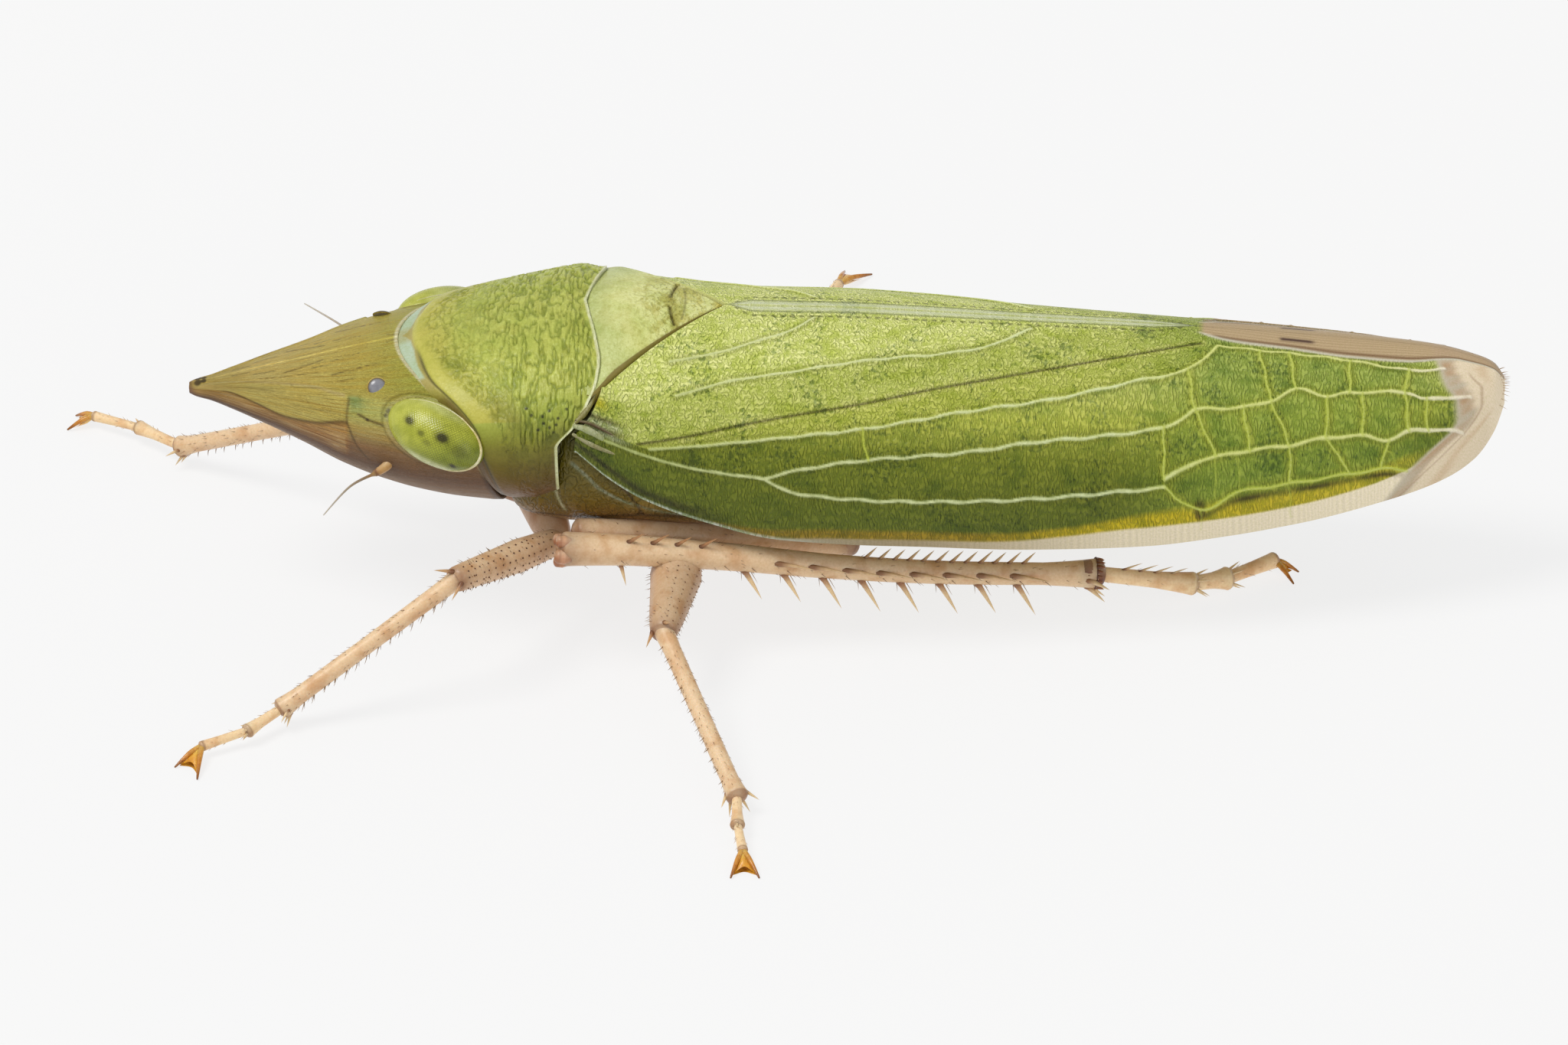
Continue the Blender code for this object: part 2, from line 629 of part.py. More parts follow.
def wing_border():
    """Outline of the flat wing, ridge first, then tip, costal edge and front."""
    last = WING_TIP - 0.02
    ridge = [wing_front(0) + (last - wing_front(0)) * (1 - (1 - k / 24) ** 1.3) for k in range(25)]
    border = [flat_place(s, 0) for s in ridge]
    border += [flat_place(last, t) for t in (0.5,)]
    costal = [wing_front(1) + (last - wing_front(1)) * (1 - (1 - k / 30) ** 1.5) for k in range(31)]
    border += [flat_place(s, 1) for s in reversed(costal)]
    front = [k / 12 for k in range(11, 0, -1)]
    return border + [flat_place(wing_front(t), t) for t in front]


def gap_to_line(point, line):
    best = 9.0
    for a, b in zip(line, line[1:]):
        run = b - a
        t = max(0.0, min(1.0, (point - a).dot(run) / max(run.length_squared, 1e-12)))
        best = min(best, (point - a - run * t).length)
    return best


def wing_net(lines):
    """Points and fixed edges of the flat wing: border, vein crests with their feet, and fill."""
    border = wing_border()
    points, edges = list(border), []

    def spot(p, near=0.02):
        for k, q in enumerate(points):
            if (q - p).length < near:
                return k
        points.append(p)
        return len(points) - 1

    for line in lines:
        ids = [spot(p) for p in line]
        edges += [(a, b) for a, b in zip(ids, ids[1:]) if a != b]
    for line in lines:
        others = [other for other in lines if other is not line]
        for side in (-1, 1):
            last = None
            for k, p in enumerate(line):
                ahead = (line[min(k + 1, len(line) - 1)] - line[max(k - 1, 0)]).normalized()
                foot = p + Vector((-ahead.y, ahead.x)) * VEIN_HALF * side
                clear = all(gap_to_line(foot, other) > 0.6 * VEIN_HALF for other in others)
                inside = gap_to_line(foot, border + border[:1]) > 0.025
                if not (clear and inside):
                    last = None
                    continue
                now = spot(foot, 0.016)
                if last is not None and last != now:
                    edges.append((last, now))
                last = now
    for k in range(1, 22):
        for turn in (0.13, 0.27, 0.41, 0.55, 0.69, 0.82, 0.93):
            front = wing_front(turn)
            p = flat_place(front + (WING_TIP - 0.05 - front) * k / 22, turn)
            if min(gap_to_line(p, line) for line in lines) < 0.075:
                continue
            if gap_to_line(p, border + border[:1]) > 0.07 and min((q - p).length for q in points) > 0.08:
                points.append(p)
    return points, edges, len(border)


def build_wing(name, side):
    lines = [rounded_line(knots, VEIN_STEP) for knots in VEINS.values()]
    points, edges, rim = wing_net(lines)
    border = list(range(rim))
    flat, _e, faces, _v, _oe, _of = geometry.delaunay_2d_cdt(points, edges, [border], 1, 1e-6)
    outer, inner = [], []
    rim_line = flat_rim(flat, rim)
    for p in flat:
        station = p.x
        turn = min(max(p.y / max(arc_length(station), 1e-6), 0.0), 1.0)
        y, z = roof(station, turn)
        ya, za = roof(station, max(turn - 0.01, 0))
        yb, zb = roof(station, min(turn + 0.01, 1))
        run = math.hypot(yb - ya, zb - za)
        ny, nz = (za - zb) / run, (yb - ya) / run
        reach = min(gap_to_line(p, line) for line in lines)
        lift = VEIN_TALL * max(0.0, 1 - reach / VEIN_HALF)
        thick = WING_EDGE + (WING_THICK - WING_EDGE) * float(smoothstep(0.0, 0.30, gap_to_line(p, rim_line)))
        outer.append((station, side * max(y + ny * lift, GAP / 2), z + nz * lift))
        inner.append((station, side * max(y - ny * thick, GAP / 2), z - nz * thick))
    bm = bmesh.new()
    tops = [bm.verts.new(metres(p)) for p in outer]
    lows = [bm.verts.new(metres(p)) for p in inner]
    for face in faces:
        bm.faces.new([tops[k] for k in face])
        bm.faces.new([lows[k] for k in reversed(face)])
    for edge in [e for e in bm.edges if len(e.link_faces) == 1 and e.verts[0] in set(tops)]:
        a, b = (tops.index(v) for v in edge.verts)
        bm.faces.new((tops[a], tops[b], lows[b], lows[a]))
    return link_mesh(name, bm, WING_GREEN, 0.35, 30)


def flat_rim(flat, rim):
    return [flat[k] for k in range(rim)] + [flat[0]]


def smooth_path(points, radii, per_leg=4):
    """Curve through the points, with radii eased between them."""
    pts = [Vector(p) for p in points]
    path, sizes = [], []
    for k in range(len(pts) - 1):
        p0, p1, p2 = pts[max(k - 1, 0)], pts[k], pts[k + 1]
        p3 = pts[min(k + 2, len(pts) - 1)]
        for j in range(per_leg):
            t = j / per_leg
            a = 2 * p1 + (p2 - p0) * t
            b = (2 * p0 - 5 * p1 + 4 * p2 - p3) * t * t
            c = (3 * p1 - p0 - 3 * p2 + p3) * t**3
            path.append((a + b + c) / 2)
            sizes.append(radii[k] + (radii[k + 1] - radii[k]) * t)
    return path + [pts[-1]], sizes + [radii[-1]]


def tube(path, sizes, sides=10, round_start=True, round_end=True):
    """Closed tube of changing radius, with rounded or flat ends."""
    spots, radii = [], []
    first = (path[1] - path[0]).normalized()
    last = (path[-1] - path[-2]).normalized()
    if round_start:
        for lift, share in ((0.55, 0.45), (0.25, 0.85)):
            spots.append(path[0] - first * sizes[0] * lift)
            radii.append(sizes[0] * share)
    spots += list(path)
    radii += list(sizes)
    if round_end:
        for lift, share in ((0.25, 0.85), (0.55, 0.45)):
            spots.append(path[-1] + last * sizes[-1] * lift)
            radii.append(sizes[-1] * share)
    side = first.cross(Vector((0, 0, 1)))
    if side.length < 0.2:
        side = first.cross(Vector((0, 1, 0)))
    side.normalize()
    rows = []
    for k, spot in enumerate(spots):
        ahead = (spots[min(k + 1, len(spots) - 1)] - spots[max(k - 1, 0)]).normalized()
        side = (side - ahead * side.dot(ahead)).normalized()
        up = ahead.cross(side)
        ring = []
        for angle in angles(sides):
            ring.append(spot + (side * math.cos(angle) + up * math.sin(angle)) * radii[k])
        rows.append(ring)
    return loft(rows)


def build_antennae():
    for side, points in ANTENNA.items():
        path, sizes = smooth_path(points, ANTENNA_RADII, 3)
        feeler = link_mesh("antenna_" + side, tube(path, sizes, 8), OLIVE, 0.45)
        cut(feeler, loft(head_grown(GAP)))
        cut(feeler, ball(eye_matrix(-1 if side == "L" else 1, GAP * 1.5), 16, 10))


def head_grown(grow):
    steps = [0.0, 0.06, 0.18, 0.34, 0.52, 0.70, 0.86, 1.0]
    rows = []
    for step in steps:
        ring = []
        for angle in angles(28):
            station = step * (head_back(angle) + grow)
            y, z = section(HEAD, station, angle, CROWN_POWER, FACE_POWER, grow)
            ring.append((station, y, z))
        rows.append(ring)
    return rows


def thorax_grown(grow):
    stations = [2.20 - grow, 2.26, 2.36, 2.5, 2.7, 2.9, 3.2, 3.5, 3.76 + grow]
    return straight_loft(THORAX, stations, 28, 2.3, 2.4, grow)


def abdomen_grown(grow):
    stations = [3.78 - grow, 4.2, 4.7, 5.2, 5.7]
    return straight_loft(ABDOMEN, stations, 28, 2.1, 2.8, grow)


def build_beak():
    path, sizes = smooth_path(BEAK, BEAK_RADII, 3)
    beak = link_mesh("beak", tube(path, sizes, 10), BROWN, 0.5)
    cut(beak, loft(head_grown(GAP)))
    cut(beak, loft(thorax_grown(GAP)))


def build_upper_leg(leg):
    kind = leg.split("_")[0]
    root, hip, knee = Vector(COXA_ROOT[leg]), Vector(TROCHANTER[leg]), Vector(KNEE[leg])
    mid = hip.lerp(knee, 0.40)
    coxa, joint = COXA_RADIUS[kind], TROCHANTER_RADIUS[kind]
    if kind == "hind":
        lean = hip.lerp(knee, 0.03)
        sizes = (joint * 0.9, FEMUR_RADIUS[kind], KNEE_RADIUS[kind])
        upper = link_mesh("femur_" + leg, tube(*smooth_path((lean, mid, knee), sizes, 4), 10), TAN, 0.45)
        sizes = (coxa, coxa * 0.8, joint)
        cut(upper, tube(*smooth_path((root, root.lerp(hip, 0.55), hip), sizes, 3), 10), "UNION")
        cut(upper, loft(abdomen_grown(GAP)))
    else:
        points = (root, root.lerp(hip, 0.6), hip, mid, knee)
        sizes = (coxa, coxa * 0.9, joint, FEMUR_RADIUS[kind], KNEE_RADIUS[kind])
        upper = link_mesh("femur_" + leg, tube(*smooth_path(points, sizes, 3), 10), TAN, 0.45)
    cut(upper, loft(thorax_grown(GAP)))
    if kind == "fore":
        cut(upper, loft(head_grown(GAP)))
    if kind != "hind":
        along, side, up = shin_axes(leg)
        spurs = []
        for ahead, away, rise in KNEE_SPURS:
            lean = side * away + up * rise
            spurs.append(spine(knee + lean.normalized() * KNEE_RADIUS[kind] * 0.9, along * ahead + lean,
                               SPUR_LONG, SPUR_RADIUS))
        fuse(upper, spurs)


def spine(root, way, long, radius, sides=5):
    """Pointed spine whose root reaches back inside what carries it."""
    way = way.normalized()
    across = way.orthogonal().normalized()
    over = way.cross(across)
    bm = bmesh.new()
    foot = root - way * radius * 1.6
    ring = []
    for angle in angles(sides):
        ring.append(bm.verts.new(metres(foot + (across * math.cos(angle) + over * math.sin(angle)) * radius)))
    tip = bm.verts.new(metres(root + way * long))
    bm.faces.new(ring)
    for k in range(sides):
        bm.faces.new((ring[k], ring[(k + 1) % sides], tip))
    return bm


def fuse(target, pieces):
    """One union of the target with every piece."""
    group = bpy.data.collections.new(target.name + "_group")
    bpy.context.scene.collection.children.link(group)
    tools = []
    for number, bm in enumerate(pieces):
        tool = link_mesh(target.name + "_piece_" + str(number), bm, TAN, 0.5)
        bpy.context.collection.objects.unlink(tool)
        group.objects.link(tool)
        tools.append(tool)
    change = target.modifiers.new("fuse", "BOOLEAN")
    change.operation = "UNION"
    change.solver = "EXACT"
    change.operand_type = "COLLECTION"
    change.collection = group
    bpy.context.view_layer.update()
    graph = bpy.context.evaluated_depsgraph_get()
    mesh = bpy.data.meshes.new_from_object(target.evaluated_get(graph))
    target.modifiers.clear()
    target.data = mesh
    for tool in tools:
        bpy.data.objects.remove(tool, do_unlink=True)
    bpy.data.collections.remove(group)
    keep_largest(target)


def tibia_size(kind, share):
    return float(np.interp(share, TIBIA_SHARES, TIBIA_RADII[kind]))


def tibia_spot(leg, share):
    """Point on the shin's centre line."""
    start = Vector(HIND_TIBIA_START.get(leg, KNEE[leg]))
    spot = start.lerp(Vector(TIBIA_END[leg]), share)
    if leg.startswith("hind"):
        spot.z += float(fit(HIND_SAG, share))
    return spot


def shin_axes(leg):
    """Ways along the shin, outward and up."""
    out = -1 if leg.endswith("L") else 1
    along = (tibia_spot(leg, 1.0) - tibia_spot(leg, 0.0)).normalized()
    side = Vector((0, 0, 1)).cross(along).normalized()
    side *= 1 if side.y * out > 0 else -1
    up = along.cross(side)
    up *= 1 if up.z > 0 else -1
    return along, side, up


def tibia_spines(leg):
    """Spine rows of the hind tibia and the comb at each tibia's end."""
    kind, pieces = leg.split("_")[0], []
    along, side, up = shin_axes(leg)
    for (first, last), count, (back, away, rise), long, radius in HIND_ROWS if kind == "hind" else ():
        for k in range(count):
            share = first + (last - first) * (k / (count - 1) if count > 1 else 0)
            lean = side * away + up * rise
            root = tibia_spot(leg, share) + lean.normalized() * tibia_size(kind, share) * 0.93
            pieces.append(spine(root, along * back + lean, long, radius))
    for back, away, rise in COMB_WAYS:
        lean = side * away + up * rise
        root = tibia_spot(leg, 0.985) + lean.normalized() * tibia_size(kind, 0.985) * 0.85
        pieces.append(spine(root, along * back + lean, COMB_LONG[kind], COMB_RADIUS[kind]))
    return pieces


def build_tibia(leg):
    kind = leg.split("_")[0]
    shares = (0.0, 0.12, 0.30, 0.50, 0.70, 0.90, 1.0) if kind == "hind" else TIBIA_SHARES
    points = [tibia_spot(leg, share) for share in shares]
    path, radii = smooth_path(points, [tibia_size(kind, share) for share in shares], 2 if kind == "hind" else 3)
    shin = link_mesh("tibia_" + leg, tube(path, radii, 10, True, False), TAN, 0.45)
    fuse(shin, tibia_spines(leg))
    if kind != "hind":
        place = Matrix.Translation(metres(KNEE[leg]))
        size = (KNEE_RADIUS[kind] + GAP) * MM
        cut(shin, ball(place @ Matrix.Diagonal((size, size, size, 1.0)), 16, 10))


def tarsus_joints(leg):
    """Joints of a foot that starts a small gap off the shin's end."""
    end, after = Vector(TIBIA_END[leg]), Vector(TARSUS[leg][0])
    reach = 0.55 * TARSUS_RADIUS[leg.split("_")[0]] + GAP + 0.004
    return [end + (after - end).normalized() * reach] + [Vector(p) for p in TARSUS[leg]]


def flat_foot(bm):
    """Planes the sole level with the floor."""
    everything = bm.verts[:] + bm.edges[:] + bm.faces[:]
    done = bmesh.ops.bisect_plane(bm, geom=everything, dist=1e-9, plane_co=(0, 0, 0), plane_no=(0, 0, 1),
                                  clear_inner=True)
    edges = [e for e in done["geom_cut"] if isinstance(e, bmesh.types.BMEdge)]
    bmesh.ops.holes_fill(bm, edges=edges, sides=0)
    bmesh.ops.triangulate(bm, faces=[f for f in bm.faces if len(f.verts) > 4])


def build_tarsus(leg):
    kind = leg.split("_")[0]
    joints = tarsus_joints(leg)
    radius = TARSUS_RADIUS[kind]
    if kind == "hind":
        sizes = (radius, radius * 1.25, radius, radius * 0.8)
    else:
        sizes = (radius, radius * 0.95, radius * 0.9)
    foot = link_mesh("tarsus_" + leg, tube(*smooth_path(joints, sizes, 3), 8), TAN, 0.45)
    end, pieces = joints[-1], []
    tips = [Vector(t) for t in CLAW_TIPS[leg]]
    for tip in tips:
        over = end.lerp(tip, 0.45) + Vector((0, 0, 0.025))
        path, radii = smooth_path((end, over, tip + Vector((0, 0, 0.008))), (0.030, 0.028, 0.014), 2)
        pieces.append(tube(path, radii, 6))
    middle = (tips[0] + tips[1]) / 2
    spot = end.lerp(middle, 0.62)
    place = Matrix.Translation(metres((spot[0], spot[1], PAD_HALF[2] * 0.7)))
    pieces.append(ball(place @ Matrix.Diagonal([h * MM for h in PAD_HALF] + [1.0]), 10, 6))
    for k in range(1, len(joints) - 1):
        ahead = (joints[k] - joints[k - 1]).normalized()
        for way in ((0.0, 0.6, 0.0), (0.0, -0.6, 0.0), (0.0, 0.0, -0.5)):
            root = joints[k] + Vector(way) * sizes[k]
            pieces.append(spine(root, ahead + Vector(way), 0.11 if kind == "hind" else 0.06, 0.014))
    fuse(foot, pieces)
    bm = bmesh.new()
    bm.from_mesh(foot.data)
    flat_foot(bm)
    bmesh.ops.recalc_face_normals(bm, faces=bm.faces)
    bm.to_mesh(foot.data)
    bm.free()


def build_legs():
    for leg in COXA_ROOT:
        build_upper_leg(leg)
        build_tibia(leg)
        build_tarsus(leg)


def main():
    clear_scene()
    head = build_head()
    build_eyes(head)
    build_ocelli(head)
    build_antennae()
    build_pronotum()
    build_thorax()
    build_abdomen()
    build_scutellum()
    build_wing("wing_L", -1)
    build_wing("wing_R", 1)
    build_beak()
    build_legs()


main()
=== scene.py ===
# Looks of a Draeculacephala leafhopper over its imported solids, life size.
# Lengths are in millimetres, and stations run back along the body from the head's apex.
# A lean is 0 on top of the body, 90 at its widest level and 180 underneath.
# A turn is 0 at the ridge of the closed wings and 1 at their costal edge.
# Colours in brackets are the usual 0 to 255 parts. Side -1 is the left one, and 1 the right.
import math

import bpy
import numpy as np
from mathutils import Matrix, Vector
from mathutils.kdtree import KDTree


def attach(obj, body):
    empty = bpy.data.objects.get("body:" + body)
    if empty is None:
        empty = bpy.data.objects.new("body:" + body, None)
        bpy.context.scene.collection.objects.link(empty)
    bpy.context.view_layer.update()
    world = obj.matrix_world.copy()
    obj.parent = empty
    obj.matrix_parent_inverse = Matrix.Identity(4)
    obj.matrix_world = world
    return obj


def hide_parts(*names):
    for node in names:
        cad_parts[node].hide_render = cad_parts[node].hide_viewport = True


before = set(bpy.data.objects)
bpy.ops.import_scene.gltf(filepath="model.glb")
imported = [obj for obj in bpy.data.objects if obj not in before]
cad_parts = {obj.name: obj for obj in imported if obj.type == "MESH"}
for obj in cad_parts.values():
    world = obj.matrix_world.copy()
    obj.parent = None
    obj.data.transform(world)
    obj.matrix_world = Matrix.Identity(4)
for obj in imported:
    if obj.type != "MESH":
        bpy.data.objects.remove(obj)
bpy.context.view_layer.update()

MM = 0.001
APEX = -4.035
GAP = 0.02
# Width of one tuft of hair on its unwrapped sheet
TUFT_PATCH = 0.003
# The lowest that any point may lie, just over the floor
LOWEST = 0.002

# Head: station, half width, top, widest level, underside
HEAD = (
    (0.00, 0.030, 1.575, 1.535, 1.495),
    (0.04, 0.060, 1.590, 1.535, 1.480),
    (0.15, 0.105, 1.612, 1.535, 1.458),
    (0.30, 0.180, 1.652, 1.535, 1.410),
    (0.50, 0.290, 1.708, 1.535, 1.340),
    (0.80, 0.455, 1.785, 1.530, 1.220),
    (1.07, 0.615, 1.860, 1.525, 1.100),
    (1.35, 0.730, 1.930, 1.515, 1.000),
    (1.60, 0.790, 1.985, 1.500, 0.930),
    (1.85, 0.830, 2.020, 1.500, 0.880),
    (2.10, 0.850, 2.050, 1.500, 0.850),
)
# Hind edge of the head: station on the midline, bow, half width of the bow, reach under the eyes
HEAD_BACK, HEAD_BOW, HEAD_BOW_HALF, HEAD_LOW_REACH = 1.44, 0.81, 0.83, 0.20

# Eyes: centre, half sizes along, out and down, and the way their long axis points
EYE_AT = (1.733, 0.760, 1.640)
EYE_HALF = (0.370, 0.190, 0.209)
EYE_LONG = (0.80, 0.42, -0.22)
# Facets: distance, the eye's own half sizes along and down, and a row's and a corner's share of the distance
FACET_PITCH, FACET_HALF = 0.0195, (0.30, 0.26)
FACET_RISE, FACET_CORNER = 1.732, 0.577
FACET_DOME = 0.0022
# Simple eye on the crown: station, degrees off the top
OCELLUS = (1.289, 37.6)
OCELLUS_RADIUS = 0.066
OCELLUS_TALL = 0.42

# Pronotum with its side plates: station, half width, top, widest level, lower edge
PRONOTUM = (
    (1.40, 0.790, 1.960, 1.500, 1.000),
    (1.80, 0.865, 2.080, 1.560, 0.950),
    (2.10, 0.915, 2.155, 1.600, 0.950),
    (2.40, 0.960, 2.225, 1.620, 0.950),
    (2.70, 0.985, 2.280, 1.660, 0.950),
    (2.95, 0.985, 2.300, 1.670, 0.950),
)
HIND_SUNK = 0.035
COLLAR_SUNK = 0.03
RIDGE_DEPTH = 0.013
# Hind margin of the pronotum: distance from the midline, station
HIND_MARGIN = (
    (0.00, 2.747), (0.15, 2.775), (0.45, 2.835), (0.62, 2.860),
    (0.75, 2.845), (0.88, 2.780), (0.99, 2.650),
)
SIDE_BACK = 2.570

# Thorax under the pronotum and the wing bases
THORAX = (
    (2.20, 0.560, 1.350, 1.150, 0.900),
    (2.26, 0.700, 1.450, 1.180, 0.830),
    (2.36, 0.780, 1.700, 1.230, 0.775),
    (2.50, 0.820, 1.900, 1.270, 0.745),
    (2.65, 0.870, 2.050, 1.300, 0.730),
    (2.90, 0.880, 2.090, 1.300, 0.720),
    (3.30, 0.875, 2.060, 1.250, 0.720),
    (3.80, 0.860, 1.900, 1.150, 0.740),
)
# Abdomen under the wings
ABDOMEN = (
    (3.78, 0.800, 1.780, 1.100, 0.700),
    (4.50, 0.820, 1.740, 1.060, 0.640),
    (5.30, 0.790, 1.680, 1.020, 0.610),
    (5.80, 0.740, 1.640, 1.000, 0.620),
    (6.30, 0.650, 1.580, 1.000, 0.650),
    (6.90, 0.500, 1.470, 1.010, 0.720),
    (7.40, 0.330, 1.340, 1.030, 0.800),
    (7.75, 0.130, 1.200, 1.080, 0.960),
)
ABDOMEN_END = (7.80, 0, 1.08)
ABDOMEN_RING, ABDOMEN_GROOVE = 0.46, 0.022
# Roundness of each form above and below its widest level
POWERS = {HEAD: (2.1, 2.2), PRONOTUM: (2.05, 2.6), THORAX: (2.3, 2.4), ABDOMEN: (2.1, 2.8)}

SCUTELLUM_FRONT = 2.800
SCUTELLUM_TIP = 3.680
SCUTELLUM_HALF = 0.800
SCUTELLUM_RADIUS = 1.30
SCUTELLUM_TUCK = 0.035

# Wings as a roof: station, ridge height, half width, height of the costal edge, roundness
WING = (
    (2.70, 2.290, 0.985, 1.640, 2.05),
    (2.93, 2.275, 0.995, 1.420, 2.05),
    (3.16, 2.255, 1.000, 1.260, 2.05),
    (3.60, 2.220, 1.000, 1.070, 2.00),
    (4.04, 2.200, 1.005, 0.945, 2.00),
    (4.50, 2.190, 1.000, 0.900, 1.98),
    (5.05, 2.160, 0.970, 0.860, 1.95),
    (5.80, 2.110, 0.890, 0.785, 1.88),
    (6.60, 2.060, 0.790, 0.750, 1.82),
    (7.10, 2.020, 0.730, 0.785, 1.80),
    (7.62, 1.975, 0.620, 0.824, 1.80),
    (8.15, 1.920, 0.510, 0.915, 1.80),
    (8.58, 1.860, 0.390, 1.017, 1.85),
    (8.82, 1.790, 0.290, 1.135, 1.90),
    (8.96, 1.720, 0.190, 1.300, 2.00),
    (9.05, 1.580, 0.040, 1.500, 2.00),
)
WING_TIP = 9.05
WING_DEEP = 0.055
# Half the slit between the skins of the two wings along the ridge
SEAM = 0.001

BEAK = ((2.00, 0.0, 0.840), (2.25, 0.0, 0.690), (2.50, 0.0, 0.610))
BEAK_RADII = (0.110, 0.085, 0.040)

# Antennae: base joints on the right side, then the bristle on each side
ANTENNA_BASE = ((1.425, 0.650, 1.412), (1.385, 0.715, 1.362))
ANTENNA = {
    "L": ((1.305, -0.73, 1.305), (1.14, -0.97, 1.350), (0.975, -1.30, 1.334)),
    "R": ((1.305, 0.73, 1.305), (1.00, 1.09, 1.330), (0.727, 1.30, 1.383)),
}

# Legs: every joint from the coxa's root to the claws
COXA_ROOT = {
    "fore_L": (2.38, -0.30, 0.860), "fore_R": (2.34, 0.30, 0.860),
    "mid_L": (3.16, -0.30, 0.860), "mid_R": (3.16, 0.30, 0.860),
    "hind_L": (3.56, -0.30, 0.860), "hind_R": (3.56, 0.30, 0.860),
}
TROCHANTER = {
    "fore_L": (2.54, -0.70, 0.735), "fore_R": (1.99, 0.44, 0.700),
    "mid_L": (3.40, -0.62, 0.680), "mid_R": (3.42, 0.62, 0.680),
    "hind_L": (4.54, -0.36, 0.500), "hind_R": (4.54, 0.36, 0.500),
}
KNEE = {
    "fore_L": (1.89, -1.51, 0.950), "fore_R": (0.90, 0.74, 0.800),
    "mid_L": (3.30, -1.64, 0.610), "mid_R": (3.38, 1.64, 0.610),
    "hind_L": (2.70, -0.89, 0.935), "hind_R": (2.70, 0.89, 0.935),
}
HIND_TIBIA_START = {"hind_L": (2.62, -1.095, 0.925), "hind_R": (2.62, 1.095, 0.925)}
TIBIA_END = {
    "fore_L": (0.69, -1.92, 0.165), "fore_R": (-0.165, 1.38, 0.160),
    "mid_L": (3.84, -3.00, 0.160), "mid_R": (4.10, 3.00, 0.160),
    "hind_L": (6.22, -0.545, 0.365), "hind_R": (6.12, 0.76, 0.365),
}
# Sag of the hind tibia: share of its length, height
HIND_SAG = ((0.0, 0.0), (0.15, 0.012), (0.35, -0.010), (0.60, -0.055), (0.85, -0.030), (1.0, 0.0))
TARSUS = {
    "fore_L": ((0.46, -2.13, 0.115), (0.15, -2.28, 0.085)),
    "fore_R": ((-0.47, 1.67, 0.125), (-0.79, 1.87, 0.090)),
    "mid_L": ((3.855, -3.29, 0.110), (3.90, -3.56, 0.080)),
    "mid_R": ((4.19, 3.29, 0.110), (4.30, 3.58, 0.080)),
    "hind_L": ((6.87, -0.37, 0.170), (7.10, -0.23, 0.120), (7.42, 0.03, 0.100)),
    "hind_R": ((6.78, 0.80, 0.165), (7.00, 0.82, 0.115), (7.28, 0.84, 0.090)),
}
CLAW_TIPS = {
    "fore_L": ((-0.03, -2.43, 0.0), (0.13, -2.58, 0.0)),
    "fore_R": ((-0.98, 1.82, 0.0), (-0.93, 2.00, 0.0)),
    "mid_L": ((3.825, -3.80, 0.0), (4.02, -3.80, 0.0)),
    "mid_R": ((4.33, 3.85, 0.0), (4.52, 3.81, 0.0)),
    "hind_L": ((7.59, 0.02, 0.0), (7.56, -0.13, 0.0)),
    "hind_R": ((7.46, 0.78, 0.0), (7.46, 0.94, 0.0)),
}
COXA_RADIUS = {"fore": 0.150, "mid": 0.170, "hind": 0.190}
TROCHANTER_RADIUS = {"fore": 0.100, "mid": 0.130, "hind": 0.100}
FEMUR_RADIUS = {"fore": 0.116, "mid": 0.178, "hind": 0.125}
KNEE_RADIUS = {"fore": 0.090, "mid": 0.095, "hind": 0.090}
# Radii of a tibia at its start, 12, 50, 90 and 100 per cent of its length
TIBIA_SHARES = (0.0, 0.12, 0.50, 0.90, 1.0)
TIBIA_RADII = {
    "fore": (0.068, 0.062, 0.058, 0.060, 0.076),
    "mid": (0.072, 0.062, 0.060, 0.062, 0.080),
    "hind": (0.120, 0.106, 0.085, 0.078, 0.106),
}
TARSUS_RADIUS = {"fore": 0.044, "mid": 0.044, "hind": 0.06832}

# Dark and light ends of spines
DARK_INKS = ((104, 68, 44), (168, 124, 86))
TAN_INKS = ((146, 104, 72), (208, 174, 132))
PALE_INKS = ((150, 102, 68), (226, 196, 154))
# Spine rows of the hind tibia: first and last share of its length, count,
# then way (back, outward, up), length, base radius and colours
HIND_ROWS = (
    ((0.104, 0.104), 1, (0.30, 0.45, -0.80), 0.14, 0.016, PALE_INKS),
    ((0.337, 0.851), 8, (0.60, 0.45, -0.70), 0.23, 0.021, PALE_INKS),
    ((0.400, 0.845), 8, (0.95, 0.30, 0.10), 0.24, 0.017, TAN_INKS),
    ((0.113, 0.250), 4, (0.62, 0.35, 0.80), 0.16, 0.015, DARK_INKS),
    ((0.560, 0.860), 12, (0.60, -0.10, 0.80), 0.13, 0.013, TAN_INKS),
    ((0.330, 0.860), 7, (0.62, -0.70, -0.34), 0.20, 0.020, PALE_INKS),
)
# Knobs of the hind knee: outward, up, radius
KNEE_KNOBS = ((0.9, -0.15, 0.050), (0.40, 0.85, 0.042), (0.5, -0.8, 0.040), (-0.7, 0.3, 0.044))
# Rows of bristles along each tibia: outward, up
BRISTLE_ROWS = {"fore": ((0, -1), (0.8, -0.6)), "mid": ((0.9, 0.3), (-0.8, -0.5)), "hind": ((1, -0.2),)}
# Spurs of the tarsal joints, as steps along x, y and z
TARSUS_SPURS = ((0.0, 0.6, 0.0), (0.0, -0.6, 0.0), (0.0, 0.0, -0.5), (0.0, 0.4, 0.5), (0.0, -0.4, 0.5))
# Comb of spurs at the tibia's end: back, outward, up
COMB_WAYS = (
    (0.80, 0.30, -0.52), (0.86, 0.0, -0.50), (0.80, -0.35, -0.48), (0.80, 0.60, 0.0), (0.80, -0.60, 0.0),
)
COMB_LONG = {"fore": 0.10, "mid": 0.12, "hind": 0.16}
COMB_RADIUS = {"fore": 0.013, "mid": 0.014, "hind": 0.020}
